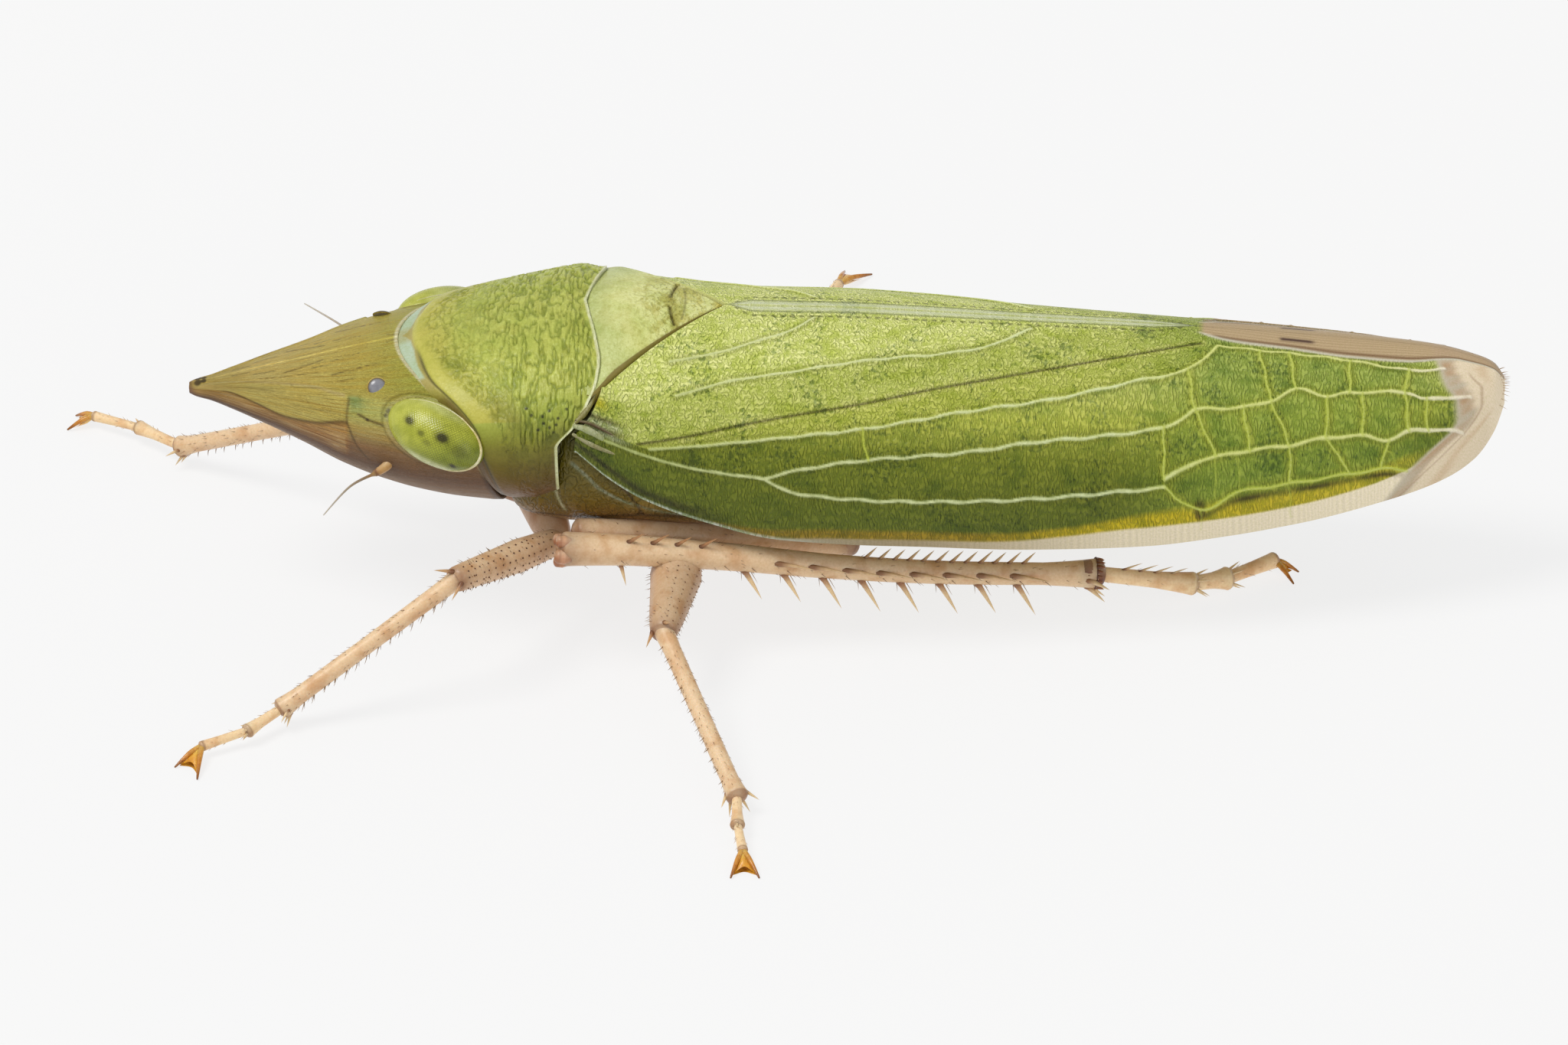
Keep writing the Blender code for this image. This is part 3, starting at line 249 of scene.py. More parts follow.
# Spurs of the fore and mid knees: along the shin, outward, up
KNEE_SPURS = ((0.63, 0.0, 0.77), (0.80, 0.60, 0.0))
SPUR_LONG = 0.13
SPUR_RADIUS = 0.014

# Veins of the left wing: station, then share of the way from ridge to costal edge
VEINS = {
    "inner_claval": ((3.34, 0.350), (3.66, 0.289), (3.96, 0.214), (4.18, 0.152), (4.31, 0.085)),
    "outer_claval": ((3.38, 0.500), (3.74, 0.412), (4.12, 0.362), (4.78, 0.291), (5.25, 0.252),
                     (5.58, 0.193), (5.80, 0.100)),
    "media": ((3.20, 0.755), (3.60, 0.678), (4.04, 0.620), (4.65, 0.570), (5.33, 0.495), (5.97, 0.435),
              (6.51, 0.360), (6.88, 0.300), (7.08, 0.165)),
    "stem": ((2.90, 0.800), (3.30, 0.788), (3.98, 0.770)),
    "cubital": ((3.98, 0.770), (4.22, 0.728), (4.69, 0.680), (5.30, 0.645), (5.84, 0.596), (6.34, 0.569),
                (6.71, 0.540), (6.92, 0.472)),
    "radial": ((3.98, 0.770), (4.18, 0.812), (4.63, 0.825), (5.20, 0.820), (5.90, 0.795), (6.71, 0.762)),
    "first_apical": ((7.08, 0.165), (7.36, 0.185), (7.57, 0.197), (7.98, 0.231), (8.38, 0.285),
                     (8.62, 0.265)),
    "second_apical": ((6.92, 0.472), (7.25, 0.467), (7.44, 0.445), (7.61, 0.395), (7.83, 0.434),
                      (7.98, 0.421), (8.36, 0.431), (8.50, 0.481), (8.80, 0.500)),
    "third_apical": ((6.71, 0.735), (6.92, 0.677), (7.07, 0.660), (7.30, 0.645), (7.57, 0.640),
                     (7.82, 0.625), (8.07, 0.636), (8.24, 0.672), (8.38, 0.649), (8.51, 0.658),
                     (8.74, 0.740)),
    "fourth_apical": ((6.71, 0.762), (6.95, 0.858), (7.22, 0.806), (7.57, 0.800), (7.98, 0.803),
                      (8.19, 0.810), (8.36, 0.850)),
    "cross_01": ((4.65, 0.570), (4.69, 0.680)), "cross_02": ((6.88, 0.300), (6.92, 0.472)),
    "cross_03": ((7.36, 0.185), (7.44, 0.445)), "cross_04": ((7.57, 0.197), (7.61, 0.395)),
    "cross_05": ((7.98, 0.231), (7.98, 0.421)), "cross_06": ((8.38, 0.285), (8.36, 0.431)),
    "cross_07": ((6.71, 0.540), (6.71, 0.735)), "cross_08": ((6.92, 0.472), (7.07, 0.660)),
    "cross_09": ((7.25, 0.467), (7.30, 0.645)), "cross_10": ((7.44, 0.445), (7.57, 0.640)),
    "cross_11": ((7.83, 0.434), (7.82, 0.625)), "cross_12": ((8.07, 0.424), (8.07, 0.636)),
    "cross_13": ((8.36, 0.431), (8.38, 0.649)), "cross_14": ((8.50, 0.481), (8.51, 0.658)),
    "cross_16": ((7.57, 0.640), (7.57, 0.800)),
    "cross_17": ((7.82, 0.625), (7.98, 0.803)), "cross_18": ((8.24, 0.672), (8.19, 0.810)),
}

# Fine hairs and dots of the legs; rows are degrees from the outer side upwards
FEMUR_HAIRS = {"fore": 90, "mid": 150, "hind": 90}
TIBIA_HAIRS, TARSUS_HAIRS = 150, 20
DOT_ROWS = (-62, -34, -6, 22, 50, 78)
ROW_STEP = 0.062
DOT_LONG, DOT_RADIUS = 0.016, 0.0075
TARSUS_SPUR_LONG = {"fore": 0.06, "mid": 0.06, "hind": 0.14}
HIND_TOE_SPINES = (0.25, 0.42, 0.58, 0.74)
# Reach of the pad between the claws, as a share of theirs
PAD_FAN = {"fore": 0.84, "mid": 0.84, "hind": 0.74}

# Leg skins, the studio and the camera's view
TAN_SKIN = (226, 194, 154)
JOINT_SKIN = (136, 88, 56)
FEMUR_SKIN = {"fore": (212, 176, 138), "mid": (188, 152, 116), "hind": (216, 182, 144)}
HAIR_SKIN = (150, 118, 88)
FLOOR_HALF = 0.6
FLOOR_SHADE = (0.12, 0.12, 0.12, 1)
FLOOR_GLOW = 0.79
WORLD_SHADE = (0.97, 0.985, 1.0, 1)
WORLD_LIGHT = 0.50
LAMP_SHADE = (1.0, 0.98, 0.95)
# Lamps: name, place and size in metres, power
LAMPS = (
    ("key_light", (-0.07, -0.03, 0.15), 0.08, 0.17),
    ("fill_light", (0.08, -0.14, 0.08), 0.10, 0.040),
)
CAMERA_RIGHT = (190.0, 7.0, -4.5)
CAMERA_UP = (0.0, 103.55, 159.4)
CAMERA_AIM = (0.007, 0.0, 0.430)
FRAME_WIDTH = 10.779
LENS, SENSOR = 1000.0, 36.0

# Marks of the head: station, lean
CROWN_EDGE = ((0.0, 60), (0.15, 29.6), (0.52, 34.8), (0.86, 39.2), (1.10, 46.6), (1.25, 48), (1.55, 52), (2.2, 54))
FACE_LINE = ((0.0, 66), (0.24, 59.2), (0.45, 74.4), (0.67, 87.2), (0.88, 82.0), (1.10, 72.0), (2.2, 72.0))
CHEEK_SUTURE = ((1.127, 49.0), (1.111, 66.8), (1.135, 80.0), (1.176, 92.4), (1.26, 104.0))
CHEEK_CREASE = ((1.19, 62.0), (1.26, 66.0), (1.36, 69.2))
BOLD_DASHES = (
    ((1.00, 26.4), (1.12, 23.6), (1.20, 22.0)), ((1.24, 21.2), (1.305, 20.0)),
    ((0.67, 18.8), (0.80, 13.0), (0.924, 8.4)),
)
FINE_DASHES = (
    ((1.37, 3.0), (1.43, 2.2), (1.476, 2.0)), ((0.99, 12.0), (1.22, 8.0)), ((0.45, 16.0), (0.60, 14.0)),
    ((0.30, 10.0), (0.42, 9.0)), ((1.30, 32.0), (1.37, 31.0)), ((0.76, 24.0), (0.90, 22.0)),
    ((0.50, 26.0), (0.72, 25.0)), ((0.86, 17.0), (0.96, 15.5)), ((1.05, 33.0), (1.16, 31.0)),
)
# Dots of the head: station, lean, radius
HEAD_DOTS = (
    (1.403, 57.6, 0.020), (1.385, 61.0, 0.016), (0.06, 20.0, 0.030), (0.10, 12.0, 0.022), (1.255, 66.0, 0.012),
)
FEELER_SOCKET = (1.42, 0.68, 1.385)
# Dark blotches of the eye in its own unit sphere: along, down, radius, depth
EYE_BLOTS = (
    (0.28, -0.20, 0.125, 0.95), (-0.445, -0.19, 0.10, 0.70), (-0.12, -0.02, 0.07, 0.45),
    (0.66, 0.0, 0.16, 0.35), (0.05, 0.17, 0.08, 0.30), (0.62, 0.56, 0.055, 1.0),
)
PRONOTUM_DOTS = (
    (2.358, 61.6), (2.393, 66.0), (2.477, 71.2), (2.519, 64.0), (2.549, 78.0), (2.639, 64.0), (2.699, 61.6),
    (2.567, 72.8), (2.60, 76.0), (2.47, 67.0), (2.52, 74.0), (2.62, 80.0), (2.44, 75.0), (2.58, 69.0), (2.66, 70.0),
)
# Width of the pale collar at each lean
COLLAR = ((0, 2, 6, 14, 20, 27, 34, 40), (0.012, 0.045, 0.072, 0.074, 0.056, 0.030, 0.010, -0.02))
# Lines of the thorax: station and lean, colour, width
THORAX_LINES = (
    (((2.56, 70), (2.53, 86), (2.55, 98), (2.60, 112)), (200, 196, 168), 0.012),
    (((2.80, 74), (2.88, 84), (3.02, 92), (3.10, 104), (3.12, 112)), (62, 46, 30), 0.011),
    (((2.66, 80), (2.85, 92), (3.10, 104), (3.45, 112)), (150, 158, 142), 0.012),
)

# Marks of the wing: station, turn
SUTURE = (
    (3.12, 0.750), (3.30, 0.699), (3.74, 0.598), (4.19, 0.528), (4.63, 0.479), (5.17, 0.406), (5.83, 0.324),
    (6.50, 0.234), (6.96, 0.150),
)
CLAVUS_END = 6.97
# The line under the brown membrane at the tip
MEMBRANE_LINE = ((6.90, 0.060), (7.13, 0.125), (7.57, 0.170), (7.99, 0.214), (8.36, 0.226), (8.72, 0.150))
YELLOW_STRIP = (
    (3.3, 1.02), (3.9, 0.985), (4.49, 0.958), (5.49, 0.948), (6.0, 0.925), (6.5, 0.890), (6.91, 0.875),
    (7.6, 0.865), (8.1, 0.845), (8.5, 0.80), (9.1, 0.78),
)
# Faint cross veins between the last cells
FAINT_VEINS = (
    ((7.06, 0.665), (7.06, 0.741), (7.06, 0.816)),
    ((7.21, 0.659), (7.22, 0.729), (7.23, 0.8)),
    ((8.22, 0.724), (8.27, 0.755), (8.3, 0.829)),
    ((6.95, 0.862), (6.96, 0.904), (6.96, 0.942)),
    ((7.55, 0.805), (7.57, 0.877), (7.57, 0.948)),
)
# Where the green ends at the tip, and a thin line beyond it: turn, station
TIP_EDGE = (
    (0.0, 8.52), (0.28, 8.58), (0.40, 8.62), (0.52, 8.69), (0.64, 8.70), (0.70, 8.66), (0.80, 8.48), (0.86, 8.37),
    (1.0, 8.20),
)
TIP_LINE = (
    (0.0, 8.70), (0.30, 8.80), (0.45, 8.88), (0.60, 8.88), (0.72, 8.80), (0.82, 8.64), (0.92, 8.44), (1.0, 8.30),
)
# Folds of the wing root: how far they sink and how thick they are along their line, then line, radius, colour
HINGE_SINK = (0.6, 0.35, 0.6, 1.3)
HINGE_SIZES = (0.6, 1.05, 0.85, 0.15)
HINGES = (
    (((2.69, 0.811), (2.78, 0.794), (2.88, 0.792), (2.96, 0.819)), 0.026, (166, 172, 132)),
    (((2.68, 0.867), (2.8, 0.868), (2.93, 0.843), (3.09, 0.823)), 0.017, (150, 146, 110)),
    (((2.7, 0.777), (2.81, 0.748), (2.93, 0.748), (3.1, 0.762)), 0.012, (92, 70, 46)),
    (((2.7, 0.789), (2.75, 0.722), (2.8, 0.641), (2.84, 0.555)), 0.02, (128, 120, 60)),
)

SIDES = {"L": -1, "R": 1}
# Each curve's fine ladder, made once
LADDERS = {}


def stack(*parts):
    """Grids of one number each, gathered into a grid of points or colours."""
    return np.stack(np.broadcast_arrays(*parts), axis=-1)


def bell(x, width):
    return np.exp(-(x / width) ** 2)


def ease(low, high, x):
    t = np.clip((x - low) / (high - low), 0.0, 1.0)
    return t * t * (3 - 2 * t)


def unit(way):
    return np.array(way, float) / np.linalg.norm(way)


def between(a, b, share):
    return a + (b - a) * share


def padded(sheet, before, after):
    """Sheet whose first and last rows are said again for the rows added around it."""
    return np.concatenate([sheet[:1]] * before + [sheet] + [sheet[-1:]] * after)


def linear(colour):
    """Linear light of a colour in brackets. Grids of colour are linear already."""
    if not isinstance(colour, tuple):
        return colour
    part = np.array(colour) / 255
    return np.where(part <= 0.04045, part / 12.92, ((part + 0.055) / 1.055) ** 2.4)


def mix(a, b, share):
    """Colour a going over to colour b by a share for every point."""
    share = np.asarray(share, float)[..., None]
    return linear(a) * (1 - share) + linear(b) * share


def coats(tint, *layers):
    """Colour after layers of (colour, share) are laid over it one by one."""
    for colour, share in layers:
        tint = mix(tint, colour, share)
    return tint


def ramp(x, *stops):
    """Colour along x through stops of (place, red, green, blue)."""
    shades = np.array([linear(stop[1:]) for stop in stops])
    return stack(*(np.interp(x, [stop[0] for stop in stops], shade) for shade in shades.T))


def slopes(xs, ys):
    """Tangents of a curve that never overshoots its knots."""
    step = np.diff(xs)
    rise = np.diff(ys) / step
    slope = np.zeros_like(ys)
    slope[0], slope[-1] = rise[0], rise[-1]
    for k in range(1, len(ys) - 1):
        if rise[k - 1] * rise[k] > 0:
            a, b = 2 * step[k] + step[k - 1], step[k] + 2 * step[k - 1]
            slope[k] = (a + b) / (a / rise[k - 1] + b / rise[k])
    return slope


def fit(knots, x, column=1):
    """Smooth curve through one column of the knots."""
    key = (knots, column)
    if key not in LADDERS:
        xs, ys = (np.array([k[c] for k in knots], float) for c in (0, column))
        slope = slopes(xs, ys)
        rungs = np.linspace(xs[0], xs[-1], 3000)
        k = np.clip(np.searchsorted(xs, rungs, side="right") - 1, 0, len(xs) - 2)
        h = xs[k + 1] - xs[k]
        t = (rungs - xs[k]) / h
        low = (2 * t**3 - 3 * t**2 + 1) * ys[k] + (t**3 - 2 * t**2 + t) * h * slope[k]
        high = (3 * t**2 - 2 * t**3) * ys[k + 1] + (t**3 - t**2) * h * slope[k + 1]
        LADDERS[key] = (rungs, low + high)
    return np.interp(x, *LADDERS[key])


def section(table, station, angle, grow=0.0):
    """Points of a rounded section whose upper and lower halves differ."""
    half, top, middle, low = (fit(table, station, column) for column in (1, 2, 3, 4))
    c, s = np.cos(angle), np.sin(angle)
    power = np.where(s >= 0, *POWERS[table])
    height = np.where(s >= 0, top - middle, middle - low) + grow
    y = (half + grow) * np.sign(c) * np.abs(c) ** (2 / power)
    return stack(station, y, middle + height * np.sign(s) * np.abs(s) ** (2 / power))


def lean_of(angle):
    return np.abs((np.degrees(angle) + 90) % 360 - 180)


def spot_on(table, station, lean, side):
    """Point of a section at one lean, on one side."""
    return section(table, np.array(station, float), math.radians(90 - side * lean))


def ring(count):
    return 2 * np.pi * (np.arange(count) + 0.5) / count


def head_back(angle):
    """Station where the head ends, a forward bow over the crown."""
    station = np.full_like(angle, 1.8)
    for _ in range(12):
        y = section(HEAD, station, angle)[..., 1]
        station = HEAD_BACK + HEAD_BOW * np.minimum(np.abs(y), HEAD_BOW_HALF) ** 2
    low = HEAD_BACK + HEAD_BOW * HEAD_BOW_HALF**2 + HEAD_LOW_REACH * np.abs(np.sin(angle)) ** 0.7
    return np.where(np.sin(angle) < 0, low, station)


def pronotum_ends(angle):
    """Stations of the shield's front and hind edges."""
    station = np.full_like(angle, 2.8)
    for _ in range(12):
        station = fit(HIND_MARGIN, np.abs(section(PRONOTUM, station, angle)[..., 1]))
    blend = np.where(np.sin(angle) < 0, 0.0, ease(0.0, 0.25, np.sin(angle)))
    return head_back(angle) + GAP, between(SIDE_BACK, station, blend)


def roof(station, turn):
    """Points of the closed wings' half section, from the ridge to the costal edge."""
    ridge, half, edge, power = (fit(WING, station, column) for column in (1, 2, 3, 4))
    angle = np.clip(turn, 0, 1) * np.pi / 2
    z = edge + (ridge - edge) * np.abs(np.cos(angle)) ** (2 / power)
    return stack(station, half * np.abs(np.sin(angle)) ** (2 / power), z)


def wing_front(turn):
    """Station where the wing comes out from under the scutellum or the shield."""
    station = np.full_like(turn, 3.2)
    for _ in range(14):
        y = roof(station, turn)[..., 1]
        along = SCUTELLUM_TIP + 0.03 - (SCUTELLUM_TIP - SCUTELLUM_FRONT) * y / SCUTELLUM_HALF
        under = fit(HIND_MARGIN, np.minimum(y, 0.99)) + GAP + 0.01
        station = 0.5 * station + 0.5 * np.where(y < 0.74, along, under)
    return station


def arc_ladder():
    """Length of the wing's section at a ladder of stations."""
    stations = np.linspace(2.7, WING_TIP, 400)
    spots = roof(stations[:, None], np.linspace(0, 1, 60)[None, :])
    return stations, np.linalg.norm(np.diff(spots, axis=1), axis=2).sum(axis=1)


ARCS = arc_ladder()


def flat(station, turn):
    """The wing laid flat: station, and length along the section."""
    return stack(station, turn * np.interp(station, *ARCS), 0)


def curve(points, per_leg=8, step=None):
    """Points of a smooth line through the given ones."""
    pts = np.array(points, float)
    line = []
    for k in range(len(pts) - 1):
        p0, p1, p2, p3 = pts[max(k - 1, 0)], pts[k], pts[k + 1], pts[min(k + 2, len(pts) - 1)]
        count = per_leg if step is None else max(1, math.ceil(np.linalg.norm(p2 - p1) / step))
        t = (np.arange(count) / count)[:, None]
        line.append(((2 * p1 + (p2 - p0) * t + (2 * p0 - 5 * p1 + 4 * p2 - p3) * t**2
                      + (3 * p1 - p0 - 3 * p2 + p3) * t**3) / 2))
    return np.concatenate(line + [pts[-1:]])


def reach(spots, targets):
    """Distance from each point to the nearest target."""
    tree = KDTree(len(targets))
    for k, target in enumerate(targets):
        tree.insert(target, k)
    tree.balance()
    return np.array([tree.find(p)[2] for p in spots.reshape(-1, 3)]).reshape(spots.shape[:-1])


def lattice(spots, scale):
    """Smooth random value at each point, between 0 and 1."""
    table = np.random.default_rng(11).random(4096)
    spots = spots * np.array(scale) + 60
    cell = np.floor(spots).astype(int)
    part = spots - cell
    part = part * part * (3 - 2 * part)
    total = 0
    for corner in np.ndindex(2, 2, 2):
        weight = np.prod(np.where(corner, part, 1 - part), axis=-1)
        total = total + weight * table[(cell + corner) @ (73, 1531, 2857) & 4095]
    return total


def worms(spots, scale=(1, 1, 1)):
    """How deep a point lies in the grooves between fine ridges, from 0 to 1."""
    value = 0.72 * lattice(spots, scale) + 0.28 * lattice(spots + 3.1, np.array(scale) * 2.1)
    return bell(value - 0.5, 0.075)


def normals(spots, closed, heart):
    """Directions out of a grid of points, away from the heart line."""
    a = np.gradient(spots, axis=0)
    b = np.roll(spots, -1, 1) - np.roll(spots, 1, 1) if closed else np.gradient(spots, axis=1)
    n = np.cross(a, b)
    n /= np.maximum(np.linalg.norm(n, axis=2, keepdims=True), 1e-12)
    away = spots - np.array(heart)
    away[..., 0] = 0
    return n * np.sign((n * away).sum(axis=2, keepdims=True) + 1e-12)


class Heap:
    """Grids of points gathered into one mesh."""

    def __init__(self):
        self.count, self.faces, self.patches = 0, [], []
        self.sheets = {"spot": [], "tint": [], "place": [], "detail": []}

    def grid(self, spots, tint, place=None, detail=(0, 0, 0), closed=True, heart=None, patch=None):
        """Add a grid whose faces look away from its heart."""
        rows, columns = spots.shape[:2]
        ids = np.arange(rows * columns).reshape(rows, columns)
        if closed:
            ids = np.concatenate((ids, ids[:, :1]), axis=1)
        faces = stack(ids[:-1, :-1], ids[:-1, 1:], ids[1:, 1:], ids[1:, :-1]).reshape(-1, 4)
        row = spots.reshape(-1, 3)
        corner = row[faces]
        middle = row.mean(axis=0) if heart is None else np.array(heart)
        lean = np.cross(corner[:, 2] - corner[:, 0], corner[:, 3] - corner[:, 1])
        if (lean * (corner.mean(axis=1) - middle)).sum() < 0:
            faces = faces[:, ::-1]
        self.faces.append(faces + self.count)
        self.count += len(row)
        place = spots if place is None else place
        for sheet, value in zip(self.sheets.values(), (spots, linear(tint), place, detail)):
            sheet.append(np.broadcast_to(value, spots.shape).reshape(-1, 3))
        if patch is not None:
            v, u = np.meshgrid(np.arange(rows) / rows, np.arange(columns) / columns, indexing="ij")
            self.patches.append((stack(u, v) * TUFT_PATCH + np.array(patch)).reshape(-1, 2))
        return self

    def make(self, name, skin, slot, *nodes):
        """One piece of all the grids, which rides the body and takes over the nodes."""
        spots, tints, places, details = (np.concatenate(sheet) for sheet in self.sheets.values())
        faces = np.concatenate(self.faces)
        spots[:, 2] = np.maximum(spots[:, 2], LOWEST)
        mesh = bpy.data.meshes.new(name)
        mesh.vertices.add(len(spots))
        mesh.vertices.foreach_set("co", ((spots + (APEX, 0, 0)) * MM).ravel())
        mesh.loops.add(faces.size)
        mesh.loops.foreach_set("vertex_index", faces.ravel())
        mesh.polygons.add(len(faces))
        mesh.polygons.foreach_set("loop_start", np.arange(0, faces.size, 4))
        mesh.update(calc_edges=True)
        tints = np.insert(np.clip(tints, 0, 1), 3, 1, axis=1)
        for key, kind, field, values in (("tint", "FLOAT_COLOR", "color", tints),
                                         ("place", "FLOAT_VECTOR", "vector", places),
                                         ("detail", "FLOAT_VECTOR", "vector", details)):
            mesh.attributes.new(key, kind, "POINT").data.foreach_set(field, values.ravel())
        if self.patches:
            spread = mesh.uv_layers.new(name="OFBake")
            spread.data.foreach_set("uv", np.concatenate(self.patches)[faces.ravel()].ravel())
        mesh.shade_smooth()
        piece = bpy.data.objects.new(name, mesh)
        bpy.context.collection.objects.link(piece)
        mesh.materials.append(SKINS[skin])
        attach(piece, "root")
        if nodes:
            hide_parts(*nodes)


# Materials

def node(tree, kind, values, **settings):
    """New shader node with its inputs set or linked."""
    made = tree.nodes.new("ShaderNode" + kind)
    for key, value in settings.items():
        setattr(made, key, value)
    for key, value in values.items():
        if isinstance(value, bpy.types.NodeSocket):
            tree.links.new(value, made.inputs[key])
        else:
            made.inputs[key].default_value = value
    return made.outputs


def sums(tree, operation, a, b):
    return node(tree, "Math", {0: a, 1: b}, operation=operation)[0]


def texture(tree, kind, place, scale):
    """Value of one procedural pattern at the point's place."""
    scale = scale if isinstance(scale, tuple) else (scale,) * 3
    spot = node(tree, "VectorMath", {0: place, 1: scale}, operation="MULTIPLY")[0]

    def noise(detail, size=1.0, roughness=0.5):
        values = {"Vector": spot, "Scale": size, "Detail": detail, "Roughness": roughness}
        return node(tree, "TexNoise", values)[0]

    if kind == "noise":
        return noise(2.0, roughness=0.55)
    if kind == "grooves":
        return sums(tree, "ABSOLUTE", sums(tree, "SUBTRACT", noise(1.0), 0.5), 0.0)
    if kind == "flecks":
        return sums(tree, "SUBTRACT", sums(tree, "ADD", noise(1.0), noise(1.0, 0.12)), 1.0)
    return node(tree, "TexVoronoi", {"Vector": spot, "Scale": 1.0}, feature="F1")[0]


def layered_skin(name, rough, layers, coat, deep=0.0, shine=0.3):
    """Skin that takes its colour from the points and its fine detail from layers of texture.

    A layer is (texture, scale, detail channel or None, low, high, colour factor, height)."""
    skin = bpy.data.materials.new(name)
    skin.use_nodes = True
    tree = skin.node_tree
    inputs = tree.nodes["Principled BSDF"].inputs
    colour = node(tree, "Attribute", {}, attribute_name="tint")["Color"]
    place, detail = (node(tree, "Attribute", {}, attribute_name=key)["Vector"] for key in ("place", "detail"))
    channels = node(tree, "SeparateXYZ", {0: detail})
    height = None
    for kind, scale, channel, low, high, factor, tall in layers:
        values = {0: texture(tree, kind, place, scale), 1: low, 2: high, 3: 0.0, 4: 1.0}
        amount = node(tree, "MapRange", values)[0]
        if channel is not None:
            amount = sums(tree, "MULTIPLY", amount, channels[channel])
        values = {0: amount, 6: colour, 7: (*factor, 1)}
        colour = node(tree, "Mix", values, data_type="RGBA", blend_type="MULTIPLY")[2]
        if tall:
            part = sums(tree, "MULTIPLY", amount, tall)
            height = part if height is None else sums(tree, "ADD", height, part)
    tree.links.new(colour, inputs["Base Color"])
    if height is not None:
        bump = node(tree, "Bump", {"Height": height, "Distance": MM, "Strength": 1.0})
        tree.links.new(bump[0], inputs["Normal"])
    grain = node(tree, "TexNoise", {"Vector": place, "Scale": 30.0, "Detail": 2.0})[0]
    gloss = node(tree, "MapRange", {0: grain, 1: 0.3, 2: 0.7, 3: rough - 0.06, 4: rough + 0.06})[0]
    tree.links.new(gloss, inputs["Roughness"])
    settings = {"Coat Weight": coat, "Coat Roughness": 0.25, "Specular IOR Level": shine}
    if deep:
        settings |= {"Subsurface Weight": deep, "Subsurface Radius": (1.0, 0.7, 0.4), "Subsurface Scale": 0.10 * MM}
    for key, value in settings.items():
        inputs[key].default_value = value
    return skin


def make_skins():
    return {
        "head": layered_skin("head_cuticle", 0.42, (
            ("noise", (1.6, 9.0, 1), 0, 0.54, 0.62, (0.66, 0.55, 0.42), -0.004),
            ("noise", 34, None, 0.42, 0.66, (0.84, 0.80, 0.66), -0.003),
            ("noise", 80, None, 0.35, 0.75, (0.88, 0.85, 0.74), 0.0012),
            ("noise", 7, None, 0.44, 0.70, (0.86, 0.82, 0.70), 0.0),
            ("noise", 3, None, 0.42, 0.62, (1.0, 0.90, 0.70), 0.0),
            ("dots", 26, 1, 0.22, 0.10, (0.55, 0.45, 0.35), 0.0)), coat=0.05),
        "shield": layered_skin("thorax_cuticle", 0.40, (
            # the two groove layers darken the colour where they sink the bump: painted shade in the grooves
            ("grooves", (27, 8.5, 8.5), 0, 0.12, 0.0, (0.56, 0.58, 0.28), -0.014),
            ("grooves", (25, 17, 17), 1, 0.12, 0.0, (0.66, 0.68, 0.40), -0.010),
            ("noise", (11, 7, 7), 2, 0.48, 0.62, (0.80, 0.74, 0.52), 0.0),
            ("noise", (36, 26, 26), 2, 0.50, 0.62, (0.76, 0.74, 0.54), -0.003),
            ("noise", 60, None, 0.35, 0.75, (0.86, 0.86, 0.70), 0.0012),
            ("noise", 5, None, 0.42, 0.68, (0.84, 0.88, 0.72), 0.0)), coat=0.06),
        "wing": layered_skin("wing_cuticle", 0.40, (
            # the two groove layers darken the colour where they sink the bump: painted shade in the grooves
            ("grooves", (34, 24, 1), 0, 0.15, 0.0, (0.70, 0.75, 0.48), -0.008),
            ("grooves", (40, 15, 1), 1, 0.14, 0.0, (0.66, 0.72, 0.48), -0.007),
            ("noise", (5, 7, 1), 1, 0.50, 0.68, (0.66, 0.74, 0.62), 0.0),
            ("noise", (4, 7, 1), 0, 0.48, 0.66, (0.80, 0.84, 0.56), 0.0),
            ("noise", (17, 15, 1), 0, 0.50, 0.62, (0.84, 0.88, 0.62), -0.002),
            ("flecks", (34, 30, 1), 2, 0.12, 0.30, (0.52, 0.58, 0.60), -0.003),
            ("noise", (80, 80, 1), None, 0.35, 0.75, (0.84, 0.86, 0.72), 0.0012)), coat=0.03, shine=0.22),
        "leg": layered_skin("leg_cuticle", 0.40, (
            ("noise", 6, 0, 0.48, 0.66, (0.82, 0.68, 0.56), 0.0),
            ("noise", 60, None, 0.35, 0.75, (0.90, 0.85, 0.78), 0.0004),
            ("dots", 15, 1, 0.15, 0.10, (0.30, 0.18, 0.12), -0.001)), coat=0.10, deep=0.2, shine=0.4),
        "eye": layered_skin("eye_lens", 0.22, (
            ("noise", 12, None, 0.42, 0.70, (0.78, 0.80, 0.60), 0.0),
            ("noise", 60, None, 0.40, 0.70, (0.90, 0.90, 0.80), 0.0)), coat=0.2),
        "amber": layered_skin("amber_cuticle", 0.30, (
            ("noise", 30, None, 0.40, 0.70, (0.80, 0.66, 0.45), 0.0004),), coat=0.3, deep=0.3),
        "glass": layered_skin("ocellus_lens", 0.10, (
            ("noise", 30, None, 0.40, 0.70, (0.80, 0.80, 0.84), 0.0),), coat=0.6),
    }


SKINS = make_skins()


# Head

def head_line(points):
    """Points of a line on both sides of the head."""
    return np.array([spot_on(HEAD, *spot, side) for side in (-1, 1) for spot in curve(points, 30)])


def eye_axes(side):
    """Centre of an eye, and its ways along, out and down."""
    mirror = np.array((1, side, 1))
    along = unit(EYE_LONG * mirror)
    out = np.array((-0.10, 0.85, 0.35)) * mirror
    out = unit(out - along * (out @ along))
    return EYE_AT * mirror, along, out, np.cross(along, out) * -side


def eye_depth(spots, side):
    """How far out of the eye's surface a point is, as a share of the eye's size, and how far along."""
    centre, *ways = eye_axes(side)
    parts = [(spots - centre) @ way / half for way, half in zip(ways, EYE_HALF)]
    return np.sqrt(sum(p**2 for p in parts)) - 1, parts[0]


